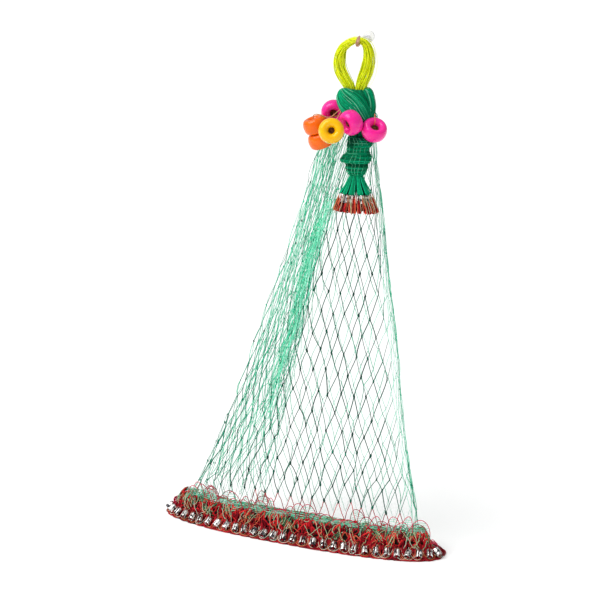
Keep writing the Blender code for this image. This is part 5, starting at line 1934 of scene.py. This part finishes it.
                # Painted light: behind the front wall these strands are pale, like the back of the mesh above.
                if knot[4] > MainNet.front_to:
                    green.tube(route, 0.3 * MM, self.draw(0.7, 1.0), sides=5)
                    continue
                if knot[3] < 0.27:
                    green.tube(route, self.strand_radius, self.draw(0.3, 0.6), sides=5)
                    continue
                strands.tube(route, self.arch_radius, self.draw(0.2, 0.7), sides=5)
                strands.lump(route[-1], UP, 4.2 * MM, 3.2 * MM, 0.8)
        strands.piece("net_last_red_row", Finish.RED_TWINE)
        green.piece("net_last_green_row", Finish.MESH_TWINE)

    def _end_loops(self) -> None:
        """Lets loose red loops stick out at the foot's two ends."""
        cords = Strands()
        for share in (0.5, 0.0):
            for _ in range(self.end_loops):
                at = share + self.bell(0.0, 0.018)
                size = self.draw(7.0, 13.0) * MM
                turn = np.linspace(0.0, math.pi * 1.5, 16) + self.draw(0.0, TAU)
                across = at + size * np.cos(turn) / self.outline_length
                up = np.clip(0.38 + size * np.sin(turn) / self.slope_length, 0.0, 1.0)
                lift = (5.5 + 4.5 * np.sin(turn + 1.0)) * MM
                route = kept_above(self.skin(across, up, lift), FLOOR + self.arch_radius)
                cords.tube(route, self.arch_radius, self.draw(0.4, 0.85), sides=5)
        cords.piece("foot_end_loops", Finish.CRIMSON_TWINE)

    def build(self, knots: np.ndarray) -> None:
        """Builds every part of the foot.

        Args:
            knots: The net's lowest row of knots, which the last row joins to the heap.
        """
        self._bodies()
        self._tubes()
        front = Strands()
        self._scallops(front)
        self._curls(front, self.front_curls, 0.5, 1.0, (0.12, 0.78))
        self._heap_loops(front)
        front.piece("foot_front_cords", Finish.RED_TWINE)
        back = Strands()
        self._curls(back, self.back_curls, 0.0, 0.5, (0.03, 0.72))
        back.piece("foot_back_cords", Finish.RED_TWINE)
        self._bunches()
        self._arches()
        self._last_mesh_row(knots)
        self._end_loops()


# ---- the studio --------------------------------------------------------------------------


@dataclass
class Studio:
    """A pale floor, one soft light, a white surround and the camera."""

    azimuth_degrees: float = 25.0
    elevation_degrees: float = 14.298
    distance: float = 2.5
    target: Point = (-0.091, -0.05, -0.4049)
    focal_share: float = 1609.955 / 600.0
    sensor: float = 36.0
    floor_size: float = 30.0
    floor_glow: float = 0.1
    surround: float = 0.45
    sky_strength: float = 2.7
    sky_spread_degrees: float = 50.0
    sky_from: Point = (-0.62, -0.75, 1.15)

    def camera(self) -> None:
        """Places the camera."""
        turn, rise = math.radians(self.azimuth_degrees), math.radians(self.elevation_degrees)
        back = Vector((math.sin(turn) * math.cos(rise), -math.cos(turn) * math.cos(rise), math.sin(rise)))
        data = bpy.data.cameras.new("camera")
        data.sensor_width = self.sensor
        data.lens = self.focal_share * self.sensor
        camera = linked("camera", data)
        camera.location = Vector(self.target) + back * self.distance
        camera.rotation_mode = "QUATERNION"
        camera.rotation_quaternion = back.to_track_quat("Z", "Y")
        bpy.context.scene.camera = camera

    def _wide_light(self) -> None:
        """Adds the one wide light, from above and to the left in front."""
        data = bpy.data.lights.new("wide_light", "SUN")
        data.energy = self.sky_strength
        data.angle = math.radians(self.sky_spread_degrees)
        light = linked("wide_light", data)
        light.rotation_mode = "QUATERNION"
        light.rotation_quaternion = Vector(self.sky_from).to_track_quat("Z", "Y")

    def _floor(self) -> None:
        """Lays the pale floor."""
        half = self.floor_size / 2
        mesh = bpy.data.meshes.new("floor")
        corners = [(-half, -half, FLOOR), (half, -half, FLOOR), (half, half, FLOOR), (-half, half, FLOOR)]
        mesh.from_pydata(corners, [], [(0, 1, 2, 3)])
        shading = Shading("pale_floor")
        colour = shading.ramp(shading.noise(3.0), ((0.0, (0.965, 0.965, 0.965)), (1.0, (0.98, 0.98, 0.98))))
        shading.fix(Base_Color=colour)
        shading.fix(Roughness=0.7, Emission_Strength=self.floor_glow)
        shading.fix(Emission_Color=(1.0, 1.0, 1.0, 1.0))
        mesh.materials.append(shading.material)
        linked("floor", mesh)

    def _surround(self) -> None:
        """Makes the surround white."""
        world = bpy.data.worlds.new("surround")
        world.use_nodes = True
        world.node_tree.nodes["Background"].inputs["Color"].default_value = (1.0, 1.0, 1.0, 1.0)
        world.node_tree.nodes["Background"].inputs["Strength"].default_value = self.surround
        bpy.context.scene.world = world

    def build(self) -> None:
        """Sets up the floor, the surround and the light."""
        self._floor()
        self._surround()
        self._wide_light()
        bpy.context.scene.view_settings.view_transform = "Standard"


def main() -> None:
    """Builds every sub-assembly in order."""
    logging.basicConfig(level=logging.INFO, format="%(name)s %(message)s")
    studio = Studio()
    studio.camera()
    FloatTwines().build()
    HandLine().build()
    WallHook().build()
    RingFloats().build()
    CrownKnot().build()
    TailNet().build()
    rows = MainNet().build()
    Foot().build(rows[0])
    studio.build()


if __name__ == "__main__":
    main()
